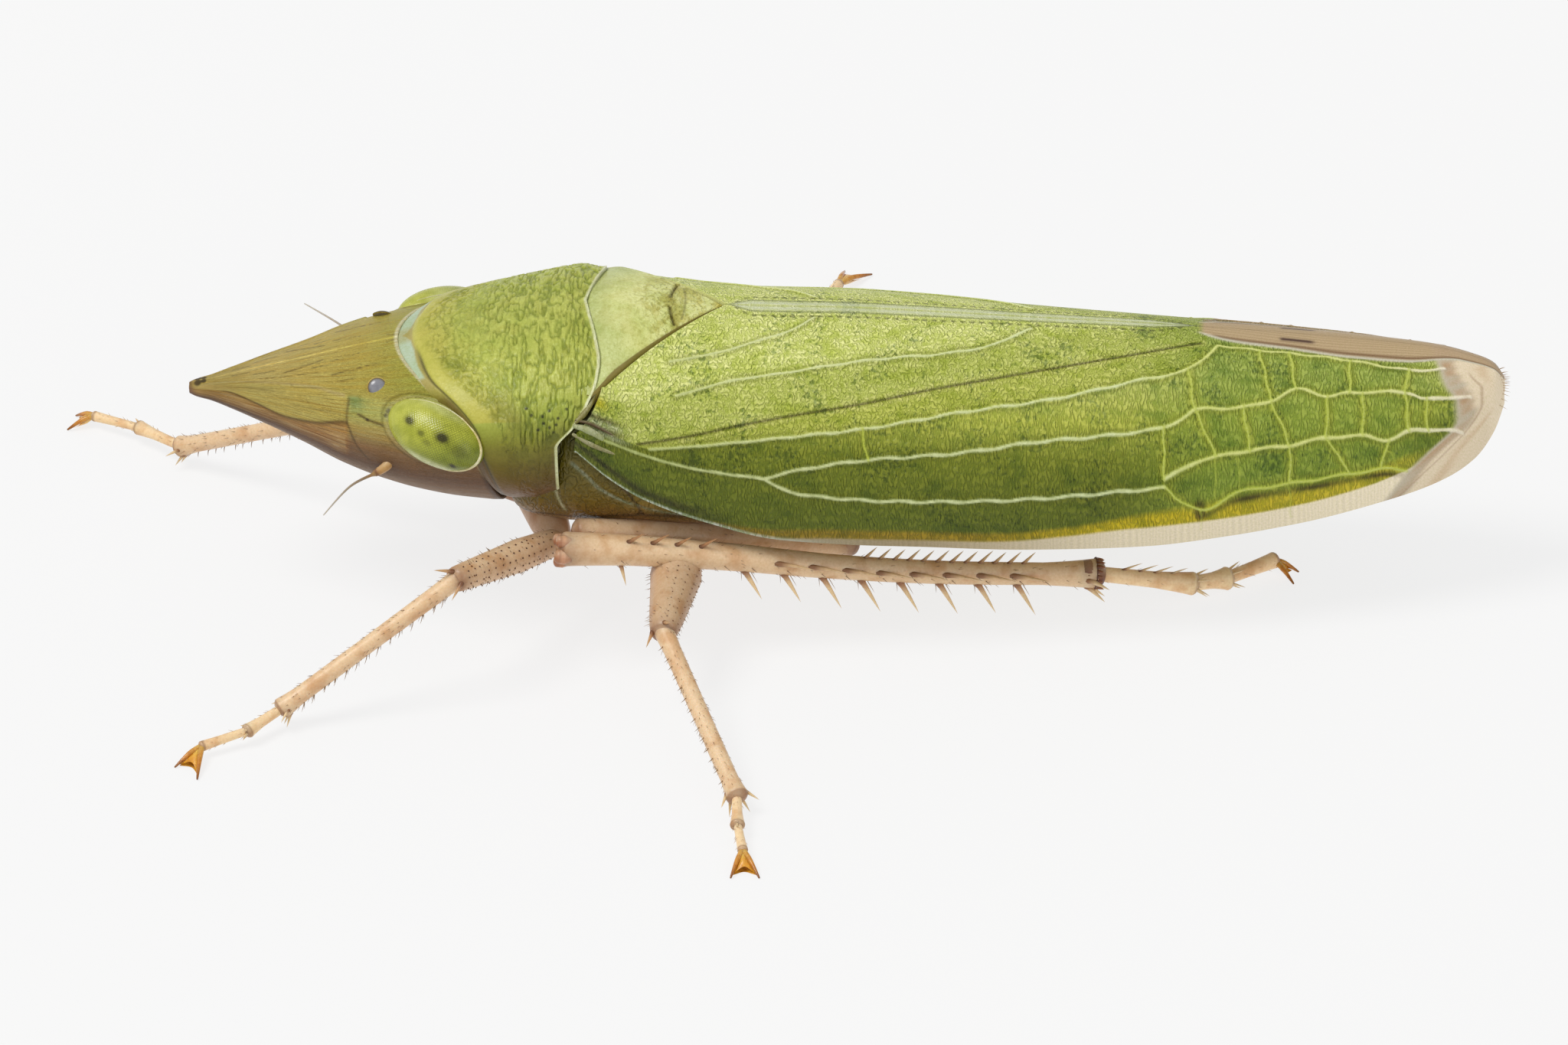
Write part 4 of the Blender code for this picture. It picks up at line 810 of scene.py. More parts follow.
def head_tint(spots, station, lean, to_back):
    """Colours of the head."""
    over, under = lean - fit(CROWN_EDGE, station), lean - fit(FACE_LINE, station)
    # both ramps darken just below the widest level: partly the face's own brown, partly painted shade of the
    # downward-facing side
    low = ramp(lean, (60, 222, 186, 110), (84, 212, 170, 104), (98, 182, 138, 86), (110, 130, 94, 66),
               (120, 164, 134, 112), (180, 184, 158, 136))
    side = ramp(station, (0, 244, 220, 146), (0.4, 236, 220, 132), (1.1, 222, 210, 118))
    cheek = ramp(lean, (45, 204, 202, 104), (62, 206, 210, 124), (76, 206, 188, 116), (92, 156, 122, 84),
                 (108, 126, 94, 70), (125, 150, 122, 100), (180, 172, 144, 122))
    cheek = mix(cheek, (112, 168, 120), 0.6 * bell(station - 1.17, 0.07) * bell(lean - 50, 9))
    crown = ramp(station, (0, 250, 228, 132), (0.5, 246, 226, 142), (0.9, 222, 204, 112), (1.25, 204, 192, 94),
                 (1.6, 180, 182, 74), (2.1, 176, 180, 78))
    tint = coats(side, (low, ease(-3, 4, under)), (cheek, ease(1.10, 1.14, station)))
    tint = coats(crown, (tint, ease(-2.5, 2.5, over)), ((222, 206, 150), 0.6 * bell(over, 2.0) * (station < 1.1)))
    lines = stack(station * 2.6, lean * 0.36 + station * 2, np.sign(spots[..., 1]) * 9)
    streaks = worms(lines) * ease(0, 6, over) * (1 - 0.6 * ease(1.1, 1.16, station))
    streaks = streaks * (0.35 + 0.65 * ease(-4, 3, under))
    tint = tint * (1 - streaks[..., None] * (0.26, 0.32, 0.40))
    pale = worms(lines + 31.7) * ease(2, 8, under) * ease(112, 96, lean) * (station < 1.1)
    tint = coats(tint, ((236, 214, 168), 0.45 * pale),
                 ((96, 62, 40), 0.75 * bell(under, 2.6) * ease(0.15, 0.3, station) * (station < 1.12)))
    for line, width, dark in ((CHEEK_SUTURE, 0.009, 0.7), (CHEEK_CREASE, 0.010, 0.8)):
        tint = mix(tint, (92, 72, 40), dark * bell(reach(spots, head_line(line)), width))
    broken = np.clip(0.5 + 0.6 * np.sin(station * 83 + lean * 2.1) + 0.5 * np.sin(station * 37 - lean * 3.3), 0.1, 1)
    for dashes, width, dark in ((BOLD_DASHES, 0.010, 0.92), (FINE_DASHES, 0.0065, 0.7)):
        for line in dashes:
            tint = mix(tint, (84, 58, 28), dark * broken * bell(reach(spots, head_line(line)), width))
    for *at, radius in HEAD_DOTS:
        for s in (-1, 1):
            gap = np.linalg.norm(spots - spot_on(HEAD, *at, s), axis=-1)
            tint = mix(tint, (58, 40, 30), 0.85 * (1 - ease(radius * 0.6, radius * 1.2, gap)))
    tint = coats(tint, ((150, 104, 84), 0.75 * bell(station, 0.035)),
                 ((238, 238, 206), 0.92 * ease(-0.030, -0.012, to_back) * ease(108, 90, lean)),
                 ((74, 52, 32), 0.7 * ease(-0.05, -0.01, to_back) * ease(96, 104, lean)))
    return tint


def build_head():
    steps = np.linspace(0, 1, 240) ** 1.25
    around = ring(400)
    station = steps[:, None] * head_back(around)
    angle = np.broadcast_to(around, station.shape)
    spots = section(HEAD, station, angle)
    lean = lean_of(angle)
    out = normals(spots, True, (0, 0, 1.45))
    tint = head_tint(spots, station, lean, station - head_back(around))
    for side in (-1, 1):
        socket = np.linalg.norm(spots - np.array(FEELER_SOCKET) * (1, side, 1), axis=-1)
        depth, along = eye_depth(spots, side)
        tint = coats(tint, ((96, 66, 42), 0.55 * bell(socket, 0.085)),
                     ((226, 228, 190), (1 - ease(0.035, 0.10, depth)) * (0.30 + 0.65 * ease(-0.3, 0.5, along))),
                     ((96, 88, 42), 0.5 * bell(depth - 0.13, 0.03) * ease(0.2, -0.4, along)))
        spots = spots + out * (0.008 * bell(depth - 0.05, 0.05))[..., None]
    edge = bell(lean - fit(CROWN_EDGE, station), 3.0) * (station < 1.2) * ease(0.02, 0.3, station)
    spots = spots + out * (0.010 * edge)[..., None]
    streak = np.where(lean < fit(CROWN_EDGE, station), 0.55, 0.75) * ease(0.05, 0.2, station)
    detail = stack(streak * (1 - 0.7 * ease(1.1, 1.2, station)), 0.25 * (lean > 100), 0)
    place = stack(station, lean / 9 * np.where(spots[..., 1] < 0, 1, 1.001), 0)
    lips = [section(HEAD, station[-1] + run, around, -deep)
            for run, deep in ((0.006, 0.008), (0.004, 0.022), (-0.03, 0.06))]
    tip = np.broadcast_to((-0.004, 0, 1.535), (1, len(around), 3))
    sheets = (padded(sheet, 1, 3) for sheet in (tint, place, detail))
    Heap().grid(np.concatenate((tip, spots, lips)), *sheets, heart=(1.2, 0, 1.5)).make(
        "head_skin", "head", "head_cuticle", "head")


def facet_dome(polar, spin):
    """How high a point of the eye stands on its facet, 1 at the middle."""
    u, v = (polar * part * half for part, half in zip((np.cos(spin), np.sin(spin)), FACET_HALF))
    rise = FACET_PITCH * FACET_RISE
    best = 9.0
    for shift in (0.0, 0.5):
        cu = (np.round(u / FACET_PITCH - shift) + shift) * FACET_PITCH
        cv = (np.round(v / rise - shift) + shift) * rise
        best = np.minimum(best, np.hypot(u - cu, v - cv))
    return 1 - (best / (FACET_PITCH * FACET_CORNER)) ** 2


def build_eye(name, side):
    centre, *ways = eye_axes(side)
    polar, spin = np.linspace(0.0, 2.05, 112)[:, None], ring(420)
    sphere = stack(np.sin(polar) * np.cos(spin), np.cos(polar), np.sin(polar) * np.sin(spin))
    dome = facet_dome(polar, spin)
    a, out, d = np.moveaxis(sphere, -1, 0)
    tint = ramp(a * 0.6 + d * 0.5, (-1.0, 196, 198, 96), (0.0, 176, 180, 62), (0.45, 140, 150, 40),
                (1.0, 118, 130, 38))
    tint = coats(tint, ((222, 226, 170), 0.80 * ease(0.62, 0.86, d) + 0.4 * ease(0.72, 0.95, -d)),
                 ((74, 76, 24), 0.80 * (1 - ease(0.15, 0.62, dome)) * (0.25 + 0.75 * ease(-0.35, 0.3, a))))
    for along, down, radius, dark in EYE_BLOTS:
        blot = np.minimum(1.5 * bell(np.hypot(a - along, (d - down) * 0.8), radius), 1)
        tint = mix(tint, (44, 38, 18), min(1.2 * dark, 0.92) * blot * (out > 0))
    spots = centre + sphere * (EYE_HALF + FACET_DOME * dome[..., None]) @ np.array(ways)
    Heap().grid(spots, tint, heart=centre).make("eye_facets_" + name, "eye", "eye", "eye_" + name)
    turns = np.linspace(-150, 75, 12)
    spin = np.radians(turns)
    line = centre + stack(np.cos(spin), 0.20, np.sin(spin)) * np.array(EYE_HALF) * 0.985 @ np.array(ways)
    sizes = np.interp(turns, (-150, -80, -20, 20, 50, 75), (0.001, 0.005, 0.011, 0.013, 0.007, 0.001))
    Heap().grid(tube(line, sizes, 12, 8)[0], (226, 226, 196)).make("eye_rim_" + name, "head", "head_cuticle")


def build_ocellus(name, side):
    place = spot_on(HEAD, OCELLUS[0] + 0.032, OCELLUS[1] + 1.5, side)
    heart = np.array((OCELLUS[0], 0, 1.45))
    lift = unit(place - heart)
    one = unit(np.cross(lift, (1, 0, 0)))
    turn = ring(40)[:, None]
    outward = np.cos(turn) * one + np.sin(turn) * np.cross(lift, one)

    def disc(wide, tall):
        return place + wide[..., None] * outward + tall[..., None] * lift

    arc = np.linspace(0, 2.3, 18)[:, None]
    lens = disc(np.sin(arc) * OCELLUS_RADIUS, np.cos(arc) * OCELLUS_RADIUS * OCELLUS_TALL - 0.011)
    # darker towards the edge of the dome: painted shade
    Heap().grid(lens, mix((134, 134, 140), (104, 94, 74), ease(0.75, 1.25, arc)), heart=heart).make(
        "ocellus_" + name, "glass", "eye")
    arc = ring(10)[:, None]
    rim = disc(OCELLUS_RADIUS + 0.001 + 0.007 * np.cos(arc), 0.006 * np.sin(arc) - 0.010)
    Heap().grid(rim, mix((186, 170, 94), (112, 86, 46), 0.7 * (np.cos(arc) < 0)), heart=place).make(
        "ocellus_rim_" + name, "head", "head_cuticle")


# Thorax

def pronotum_spots(station, angle, away, to_back, grow=0.0):
    """Points of the shield, sunk at its collar and at its hind edge."""
    lean = lean_of(angle)
    line = collar_line(lean)
    sunk = COLLAR_SUNK * (1 - ease(line - 0.030, line + 0.034, away)) * (0.4 + 0.6 * ease(50, 26, lean))
    return section(PRONOTUM, station, angle, grow - sunk - HIND_SUNK * (1 - ease(0.0, 0.18, to_back)))


def collar_line(lean):
    """How far behind its front edge the shield steps down to its collar."""
    return 0.088 - 0.070 * ease(16, 44, lean)


def pronotum_tint(spots, lean, away, to_back):
    """Colours of the shield."""
    # darker olive and brown just below the widest level: partly the shield's own colour, partly painted shade of the
    # downward-facing sides
    tint = ramp(lean, (0, 190, 196, 100), (45, 190, 197, 94), (66, 178, 186, 88), (84, 136, 134, 42),
                (96, 106, 94, 24), (106, 104, 82, 24), (120, 108, 76, 38), (180, 150, 120, 94))
    collar = 1 - ease(-0.008, 0.008, away - np.interp(lean, *COLLAR))
    line = collar_line(lean)
    tint = coats(
        tint,
        ((198, 176, 78), 0.45 * (1 - ease(0.12, 0.5, away)) * (lean < 70)),
        ((168, 152, 96), 0.8 * (1 - ease(-0.012, 0.006, away - line)) * ease(50, 40, lean)),
        ((64, 54, 32), 0.85 * bell(away - line, 0.010) * ease(10, 26, lean)),
        ((184, 200, 178), collar * (0.45 + 0.55 * ease(3, 9, lean)) * ease(48, 34, lean)),
        ((96, 70, 36), 0.8 * (1 - ease(0.004, 0.014, away)) * ease(40, 56, lean)),
        ((222, 224, 190), 0.9 * (1 - ease(0.014, 0.026, to_back)) * (lean < 130)),
        ((104, 84, 44), 0.6 * bell(to_back - 0.034, 0.010) * ease(84, 96, lean)),
        ((92, 88, 34), 0.35 * bell(lean - 66, 12) * bell(away - 0.32, 0.10)),
        ((140, 150, 50), 0.5 * bell(lean - 30, 9) * bell(away - 0.24, 0.07)),
    )
    for at in PRONOTUM_DOTS:
        for side in (-1, 1):
            gap = np.linalg.norm(spots - spot_on(PRONOTUM, *at, side), axis=-1)
            tint = mix(tint, (44, 44, 30), 0.85 * (1 - ease(0.007, 0.016, gap)))
    return tint


def build_pronotum():
    around = ring(460)
    front, back = pronotum_ends(around)
    steps = np.concatenate((np.linspace(0, 0.13, 22), np.linspace(0.135, 1, 190)))
    station = between(front, back, steps[:, None])
    angle = np.broadcast_to(around, station.shape)
    away, to_back, lean = station - front, back - station, lean_of(angle)
    spots = pronotum_spots(station, angle, away, to_back)
    out = normals(spots, True, (0, 0, 1.6))
    spots = spots + out * (0.004 * bell(to_back, 0.014))[..., None]
    tint = pronotum_tint(spots, lean, away, to_back)
    rough = ease(0.26, 0.52, away / np.maximum(back - front, 0.01)) * (1 - ease(78, 96, lean))
    fine = (1 - 0.8 * rough) * ease(0.12, 0.22, away) * (1 - 0.5 * (lean > 90))
    groove = np.maximum(worms(spots, (33, 11, 11)) * rough, worms(spots, (28, 20, 20)) * fine * 0.7)
    groove = (groove * ease(0.014, 0.034, to_back))[..., None]
    spots = spots - out * RIDGE_DEPTH * groove
    # darker in the grooves between the ridges: painted shade, laid over the sunk relief
    tint = tint * (1.02 - groove * (0.46, 0.41, 0.60))
    detail = stack(0.25 * rough, 0.25 * fine, 0.35 * ease(0.1, 0.2, away))
    lead = [pronotum_spots(front - run, around, 0, 1, -deep)
            for run, deep in ((0.08, 0.05), (0.03, 0.015), (0.004, 0.0))]
    tail = [pronotum_spots(back - run, around, 1, 0, -deep)
            for run, deep in ((0.0, 0.010), (0.002, 0.024), (0.03, 0.050))]
    pale = mix((190, 192, 150), (96, 74, 40), ease(94, 104, lean[:1]))
    tint = np.concatenate([tint[:1]] * 3 + [tint] + [pale] * 3)
    detail = np.pad(detail, ((3, 3), (0, 0), (0, 0)))
    Heap().grid(np.concatenate((lead, spots, tail)), tint, None, detail, heart=(2.2, 0, 1.6)).make(
        "pronotum_skin", "shield", "thorax_cuticle", "pronotum")


def build_thorax():
    station, angle = np.meshgrid(np.linspace(2.20, 3.78, 150), ring(320), indexing="ij")
    spots = section(THORAX, station, angle)
    out = normals(spots, True, (0, 0, 1.2))
    lean = lean_of(angle)
    tint = ramp(lean, (40, 112, 112, 48), (80, 108, 96, 28), (100, 114, 92, 26), (116, 134, 100, 46),
                (126, 160, 122, 92), (140, 182, 150, 122), (180, 182, 154, 128))
    low_edge = 122 - 10 * ease(2.3, 3.4, station)
    tint = coats(tint, ((160, 134, 70), 0.5 * ease(2.95, 3.15, station) * ease(84, 92, lean) * ease(112, 104, lean)),
                 ((74, 52, 32), 0.8 * bell(lean - low_edge, 2.4)))
    for line, colour, width in THORAX_LINES:
        near = reach(spots, [spot_on(THORAX, *spot, side) for side in (-1, 1) for spot in curve(line, 24)])
        tint = mix(tint, colour, 0.8 * bell(near, width))
        spots = spots - out * (0.012 * bell(near - 0.014, 0.012))[..., None]
    front = [between(spots[0], np.array((2.20 - 0.05 * share, 0, 1.1)), share) for share in (0.95, 0.4)]
    Heap().grid(np.concatenate((front, spots)), padded(tint, 2, 0), None, (0, 0.7, 0), heart=(2.9, 0, 1.3)).make(
        "thorax_skin", "shield", "thorax_cuticle", "thorax")


def build_abdomen():
    station, angle = np.meshgrid(np.linspace(3.78, 7.75, 240), ring(160), indexing="ij")
    spots = section(ABDOMEN, station, angle)
    groove = bell(((station - 3.8) / ABDOMEN_RING + 0.5) % 1 - 0.5, 0.06)
    spots = spots - normals(spots, True, (0, 0, 1.1)) * (ABDOMEN_GROOVE * groove)[..., None]
    tint = ramp(lean_of(angle), (0, 70, 66, 40), (90, 150, 140, 72), (130, 188, 166, 112), (180, 196, 172, 124))
    tint = mix(tint, (110, 84, 48), 0.6 * groove)
    rear = [between(np.array(ABDOMEN_END), spots[-1], share) for share in (0.80, 0.45, 0.02)]
    Heap().grid(np.concatenate((spots, rear)), padded(tint, 0, 3), None, (0, 0.5, 0), heart=(5.5, 0, 1.1)).make(
        "abdomen_skin", "shield", "underside_cuticle", "abdomen")


def build_scutellum():
    station, share = np.meshgrid(np.linspace(2.68, 3.675, 160), np.linspace(-1, 1, 150), indexing="ij")
    half = SCUTELLUM_HALF * np.clip((SCUTELLUM_TIP - np.maximum(station, SCUTELLUM_FRONT))
                                    / (SCUTELLUM_TIP - SCUTELLUM_FRONT), 0, 1)
    y = half * share
    off, bow = np.abs(y), 0.10 * (y / 0.4) ** 2
    edge = (1 - np.abs(share)) * half
    ridge = fit(WING, station, 1) - 0.005 - SCUTELLUM_TUCK * (1 - ease(2.80, 2.98, station))
    arcs = bell(station - 3.32 - bow, 0.010) * (off < 0.26) * (off > 0.05)
    z = ridge - y**2 / (2 * SCUTELLUM_RADIUS) - 0.020 * arcs - 0.008 * (1 - ease(0.0, 0.02, edge))
    z = z - 0.06 * (1 - ease(2.68, 2.80, station + 0.10 * off))
    second = bell(station - 3.425 + 0.8 * bow, 0.008) * (off < 0.20)
    tint = mix((224, 226, 158), (218, 220, 148), ease(0.2, 0.5, off))
    tint = coats(
        tint,
        ((192, 202, 136), (1 - ease(2.95, 3.2, station + 0.35 * (0.6 - off))) * 0.8),
        ((176, 164, 74), 0.6 * bell(station - 3.33 - bow, 0.03) * (off < 0.3)),
        ((78, 66, 34), 0.8 * arcs + 0.5 * second),
        ((128, 106, 56), 0.75 * (1 - ease(0.002, 0.007, edge)) * (station > 2.9)),
        ((214, 200, 96), 0.7 * ease(3.60, 3.66, station)),
    )
    rough = 0.35 + 0.65 * ease(2.95, 3.25, station - 0.3 * off)
    spots = stack(station, y, z)
    low = spots - (0, 0, 0.1)
    heap = Heap()
    for strip in ((low[:, 0], spots[:, 0]), (spots[:, -1], low[:, -1])):
        heap.grid(np.stack(strip, axis=1), (158, 142, 84), closed=False, heart=(3.1, 0, 2.1))
    heap.grid(spots, tint, None, stack(0, 0.35 * rough, rough), closed=False, heart=(3.1, 0, 1.5))
    heap.grid(low[::8, ::8], (120, 110, 70), closed=False, heart=(3.1, 0, 2.6))
    heap.make("scutellum_skin", "shield", "thorax_cuticle", "scutellum")


# Wings

def nearest(place, lines):
    """Distance on the flat wing from each point to the nearest of the lines."""
    return reach(place, np.concatenate([curve(flat(*np.array(line, float).T), step=0.008) for line in lines]))


def tip_shade(station, turn):
    """Colours of the clear skin at the wing's tip, and how much of it a point has."""
    run = station - fit(TIP_EDGE, turn)
    smoke = 0.5 + 0.3 * np.sin(turn * 23 + 2) + 0.2 * np.sin(turn * 73 + station * 31)
    shade = mix((196, 184, 164), (188, 156, 124), ease(0.02, 0.06, run) * smoke)
    shade = coats(
        shade,
        ((232, 214, 188), ease(0.12, 0.20, run + 0.05 * smoke)),
        ((158, 124, 96), 0.5 * bell(station - fit(TIP_LINE, turn), 0.011) * ease(0.24, 0.34, turn)),
        ((206, 174, 138), 0.5 * bell(run - 0.36 + 0.06 * smoke, 0.05)),
        ((244, 226, 200), ease(8.88, 8.99, station)),
    )
    return shade, ease(-0.030, 0.035, run)


def wing_paint(station, turn):
    """Colours, fine detail and lift of the wing's surface."""
    place = flat(station, turn)
    across = place[..., 1]
    drift = stack(np.sin(31 * across + 9 * station), np.sin(23 * station + 14 * across), 0)
    nearby = place + drift * (0.0055 * ease(3.0, 5.0, station))[..., None]
    pale_names = [n for n in VEINS if not n.startswith("cross") and n != "fourth_apical"]
    pale = nearest(nearby, [VEINS[n] for n in pale_names])
    gold = nearest(nearby, [VEINS[n] for n in VEINS if n not in pale_names])
    faint = nearest(nearby, FAINT_VEINS)
    any_vein = np.minimum(pale, gold)
    suture = nearest(place, [SUTURE])
    to_suture = fit(SUTURE, station) - turn
    clavus = (to_suture > 0) & (station < CLAVUS_END)
    middle = ~clavus & (turn < fit(VEINS["media"], station)) & (station < 7.0)

    # The yellow strip, the pale costal rim and the clear tip
    past_strip = turn - fit(YELLOW_STRIP, station)
    wide = 0.016 + 0.022 * ease(6.0, 7.2, station)
    gilt = ramp(station, (3.0, 130, 108, 40), (5.4, 166, 136, 30), (6.4, 204, 180, 26), (9.0, 206, 188, 56))
    margin = ease(0.0, 0.012, past_strip - wide * 0.8)
    plain = ease(0.0, -0.03, past_strip + wide)
    rim = ramp(station, (3.0, 150, 144, 124), (5.0, 164, 146, 116), (6.4, 230, 216, 190), (8.4, 246, 232, 206))
    fine = 0.5 + 0.5 * np.sin(station * 210 + 5 * np.sin(station * 17))
    shade, tip = tip_shade(station, turn)

    # The brown membrane past the clavus
    membrane = fit(MEMBRANE_LINE, station)
    brown = ease(0.010, -0.010, turn - membrane) * ease(6.92, 6.99, station)
    grain = 0.5 + 0.5 * np.sin(turn * 330 + 6 * np.sin(station * 3)) * np.sin(turn * 97 + station * 5)
    streak = bell(turn - membrane * 0.52, 0.016) * ease(7.48, 7.52, station) * ease(7.76, 7.70, station)

    # Veins, with yellow-green bands and painted shade beside them
    green = (1 - margin) * (1 - tip) * (1 - brown)
    halo = bell(np.minimum(gold, pale + 0.01), 0.045) * (station > 6.6)
    apical = VEINS["fourth_apical"]
    shadow = bell(turn - fit(apical, station) - 0.030, 0.015) * ease(6.90, 6.96, station) * ease(8.46, 8.36, station)
    corner = np.hypot(station - 6.95, turn - fit(apical, 6.95))
    patchy = 0.5 + 0.3 * np.sin(station * 43 + 9 * turn) + 0.2 * np.sin(station * 97 - 21 * turn)
    vein = 1 - ease(0.005, 0.015 + 0.003 * patchy, pale)
    light = ramp(station, (2.9, 172, 182, 112), (4.0, 208, 214, 162), (6.4, 216, 224, 176), (7.0, 212, 216, 132),
                 (8.2, 218, 220, 146), (8.6, 242, 232, 212))
    yellow = (1 - ease(0.004, 0.013 + 0.003 * patchy, gold)) + 0.55 * (1 - ease(0.003, 0.011, faint))
    yellow = np.clip(yellow, 0, 1)
    line = bell(suture, 0.010) * (station > 3.1)

    # The double line where the wings meet, and the wing root
    seam_wide = 0.035 * ease(3.7, 3.9, station) * ease(6.98, 6.6, station) + 0.001
    seam = bell(across - seam_wide, seam_wide) * (station > 3.7) * (station < CLAVUS_END)
    dotted = bell(across - 3.6 * seam_wide, 0.012) * np.clip(0.6 + 0.7 * np.sin(station * 97), 0, 1)
    base = ease(3.12, 2.92, station) * ease(0.66, 0.70, turn) * ease(0.80, 0.76, turn)
    rib = 0.5 + 0.5 * np.sin(turn * 110 + station * 10)
    lobe = bell(station - 2.86, 0.055) * bell(turn - 0.62, 0.030)
    dusk = ease(3.9, 3.3, station) * bell(turn - 0.965 + 0.03 * ease(3.2, 2.8, station), 0.022)

    # paler along the ridge and darker towards the costal edge: partly the wing's own colours, partly painted light
    # and shade from above
    tint = ramp(turn, (0.0, 208, 212, 130), (0.30, 206, 210, 126), (0.52, 190, 194, 84), (0.66, 132, 139, 42),
                (0.80, 114, 122, 34), (0.90, 106, 115, 32), (1.0, 106, 113, 35))
    tint = coats(
        tint,
        ((240, 242, 164), 0.85 * clavus),
        ((176, 184, 72), 0.55 * clavus * ease(0.25, 0.10, to_suture)),
        ((200, 204, 104), 0.65 * middle),
        ((146, 166, 66), 0.75 * ease(6.3, 7.2, station) * (1 - 0.5 * ease(8.2, 8.6, station))),
        (gilt, 0.95 * ease(-wide * 1.6, -wide * 0.2, past_strip) * (1 - ease(8.2, 8.6, station))),
        (rim * (1.02 - 0.12 * fine[..., None]), margin),
        (shade, tip),
        (mix((168, 140, 110), (200, 174, 142), grain), 0.95 * brown),
        ((112, 80, 52), 0.8 * bell(turn - membrane * 0.84, 0.014) * ease(7.0, 7.1, station)),
        ((206, 202, 186), 0.9 * bell(turn - membrane * 0.96, 0.011) * ease(6.9, 7.0, station)),
        ((66, 40, 40), 0.95 * streak),
        ((186, 190, 66), 0.45 * green * halo),
        ((74, 58, 20), (0.70 + 0.22 * np.sin(station * 14)) * (1 - 0.5 * margin) * (1 - tip) * shadow),
        ((70, 46, 24), 0.75 * bell(corner - 0.022, 0.020)),
        # dark line beside the raised veins: painted shade
        ((112, 112, 30), 0.35 * green * bell(any_vein - 0.026, 0.010)),
        (light, (0.65 + 0.3 * patchy) * vein * (1 - margin)),
        ((182, 192, 74), 0.80 * yellow * (1 - margin * 0.4)),
        ((218, 224, 160), 0.35 * bell(any_vein, 0.004) * green * (station > 6.6)),
        ((214, 212, 132), 0.6 * bell(suture - 0.026, 0.012) * (station > 3.3)),
        ((92, 78, 52), 0.9 * line),
        ((156, 144, 112), 0.6 * bell(suture, 0.003) * ease(4.2, 5.2, station)),
        ((206, 210, 188), 0.85 * seam),
        ((104, 110, 88), 0.7 * bell(across - 2.1 * seam_wide, 0.009) * (seam > 0.01)),
        ((70, 66, 44), 0.75 * dotted * (seam_wide > 0.01) * (station < CLAVUS_END)),
        (mix((92, 82, 52), (186, 190, 158), rib), 0.85 * base),
        ((222, 204, 50), 0.85 * lobe),
        ((54, 50, 30), 0.75 * dusk),
        ((196, 204, 196), 0.8 * ease(0.985, 0.995, turn) * ease(4.6, 3.6, station)),
    )
    clear = (1 - vein) * (1 - yellow) * green * (1 - 0.7 * seam)
    detail = stack(clear * (clavus | middle), clear * ~(clavus | middle), clear * plain)
    lift = 0.010 * bell(pale, 0.014) * (1 - margin) + 0.006 * bell(gold, 0.012) - 0.010 * line
    return tint, place, detail, lift * ease(0.0, 0.03, 1 - turn) * ease(0.0, 0.02, turn)


def build_hinges():
    for name, side in SIDES.items():
        heap = Heap()
        for line, radius, colour in HINGES:
            low = roof(*np.array(line).T) - np.array((0, 0.75, 1.0)) * radius * np.array(HINGE_SINK)[:, None]
            spots, outs, _ = tube(low * (1, side, 1), np.array(HINGE_SIZES) * radius, 18, 12)
            # paler on the upward-facing side: painted light from above
            tint = mix(colour, (200, 198, 168), 0.35 * ease(0.2, 1, outs[..., 2]))
            heap.grid(spots, tint, None, (0, 0.3, 0.5))
        heap.make("wing_folds_" + name, "shield", "thorax_cuticle")


def build_wings():
    turn = np.linspace(0, 1, 200)
    steps = 1 - (1 - np.linspace(0, 1, 660)) ** 1.12
    station = between(wing_front(turn), WING_TIP - 0.02, steps[:, None])
    turn = np.broadcast_to(turn, station.shape)
    spots = roof(station, turn)
    out = normals(spots, False, (0, 0, 0.9))
    tint, place, detail, lift = wing_paint(station, turn)
    below = turn - fit(MEMBRANE_LINE, station)
    overlap = ease(0.012, -0.012, below - 0.09) * ease(6.94, 7.0, station) * (below > 0)
    outer, inner = spots + out * lift[..., None], spots - out * WING_DEEP
    for sheet in (outer, inner):
        sheet[..., 1] = np.maximum(sheet[..., 1], SEAM)
    for name, side in SIDES.items():
        turned, heart = np.array((1, side, 1)), (6, side * 0.2, 1.2)
        if name == "R":
            tint = mix(tint, (176, 150, 120), overlap)
        heap = Heap()
        heap.grid(outer * turned, tint, place, detail, closed=False, heart=heart)
        heap.grid((inner * turned)[::6, ::6], (150, 150, 96), closed=False, heart=(6, side * 3.5, 2.6))
        for row in (np.s_[:, 0], np.s_[:, -1], 0, -1):
            heap.grid(np.stack((outer[row], inner[row])) * turned, tint[row], closed=False, heart=heart)
        heap.make("wing_skin_" + name, "wing", "wing", "wing_" + name)


# Legs and feelers

def tube(points, radii, sides=28, per_leg=10):
    """Rings of points along a smooth curve with round ends, the ways out of it and the length run."""
    line = curve(points, per_leg)
    sizes = np.interp(np.arange(len(line)) / per_leg, np.arange(len(points)), radii)
    first, last = unit(line[1] - line[0]), unit(line[-1] - line[-2])
    swing = np.radians((88, 70, 52, 34, 16))
    lift, slim = 0.6 * np.sin(swing)[:, None], np.cos(swing)
    line = np.concatenate((line[0] - first * sizes[0] * lift, line, line[-1] + last * sizes[-1] * lift[::-1]))
    sizes = np.concatenate((sizes[0] * slim, sizes, sizes[-1] * slim[::-1]))
    side = np.cross(first, (0, 0, 1.0))
    if np.linalg.norm(side) < 0.2:
        side = np.cross(first, (0, 1.0, 0))
    turn = ring(sides)[:, None]
    outs = []
    for way in np.gradient(line, axis=0):
        way = unit(way)
        side = unit(side - way * (side @ way))
        outs.append(np.cos(turn) * side + np.sin(turn) * np.cross(way, side))
    outs = np.array(outs)
    run = np.concatenate(((0,), np.cumsum(np.linalg.norm(np.diff(line, axis=0), axis=1))))
    return line[:, None] + outs * sizes[:, None, None], outs, run


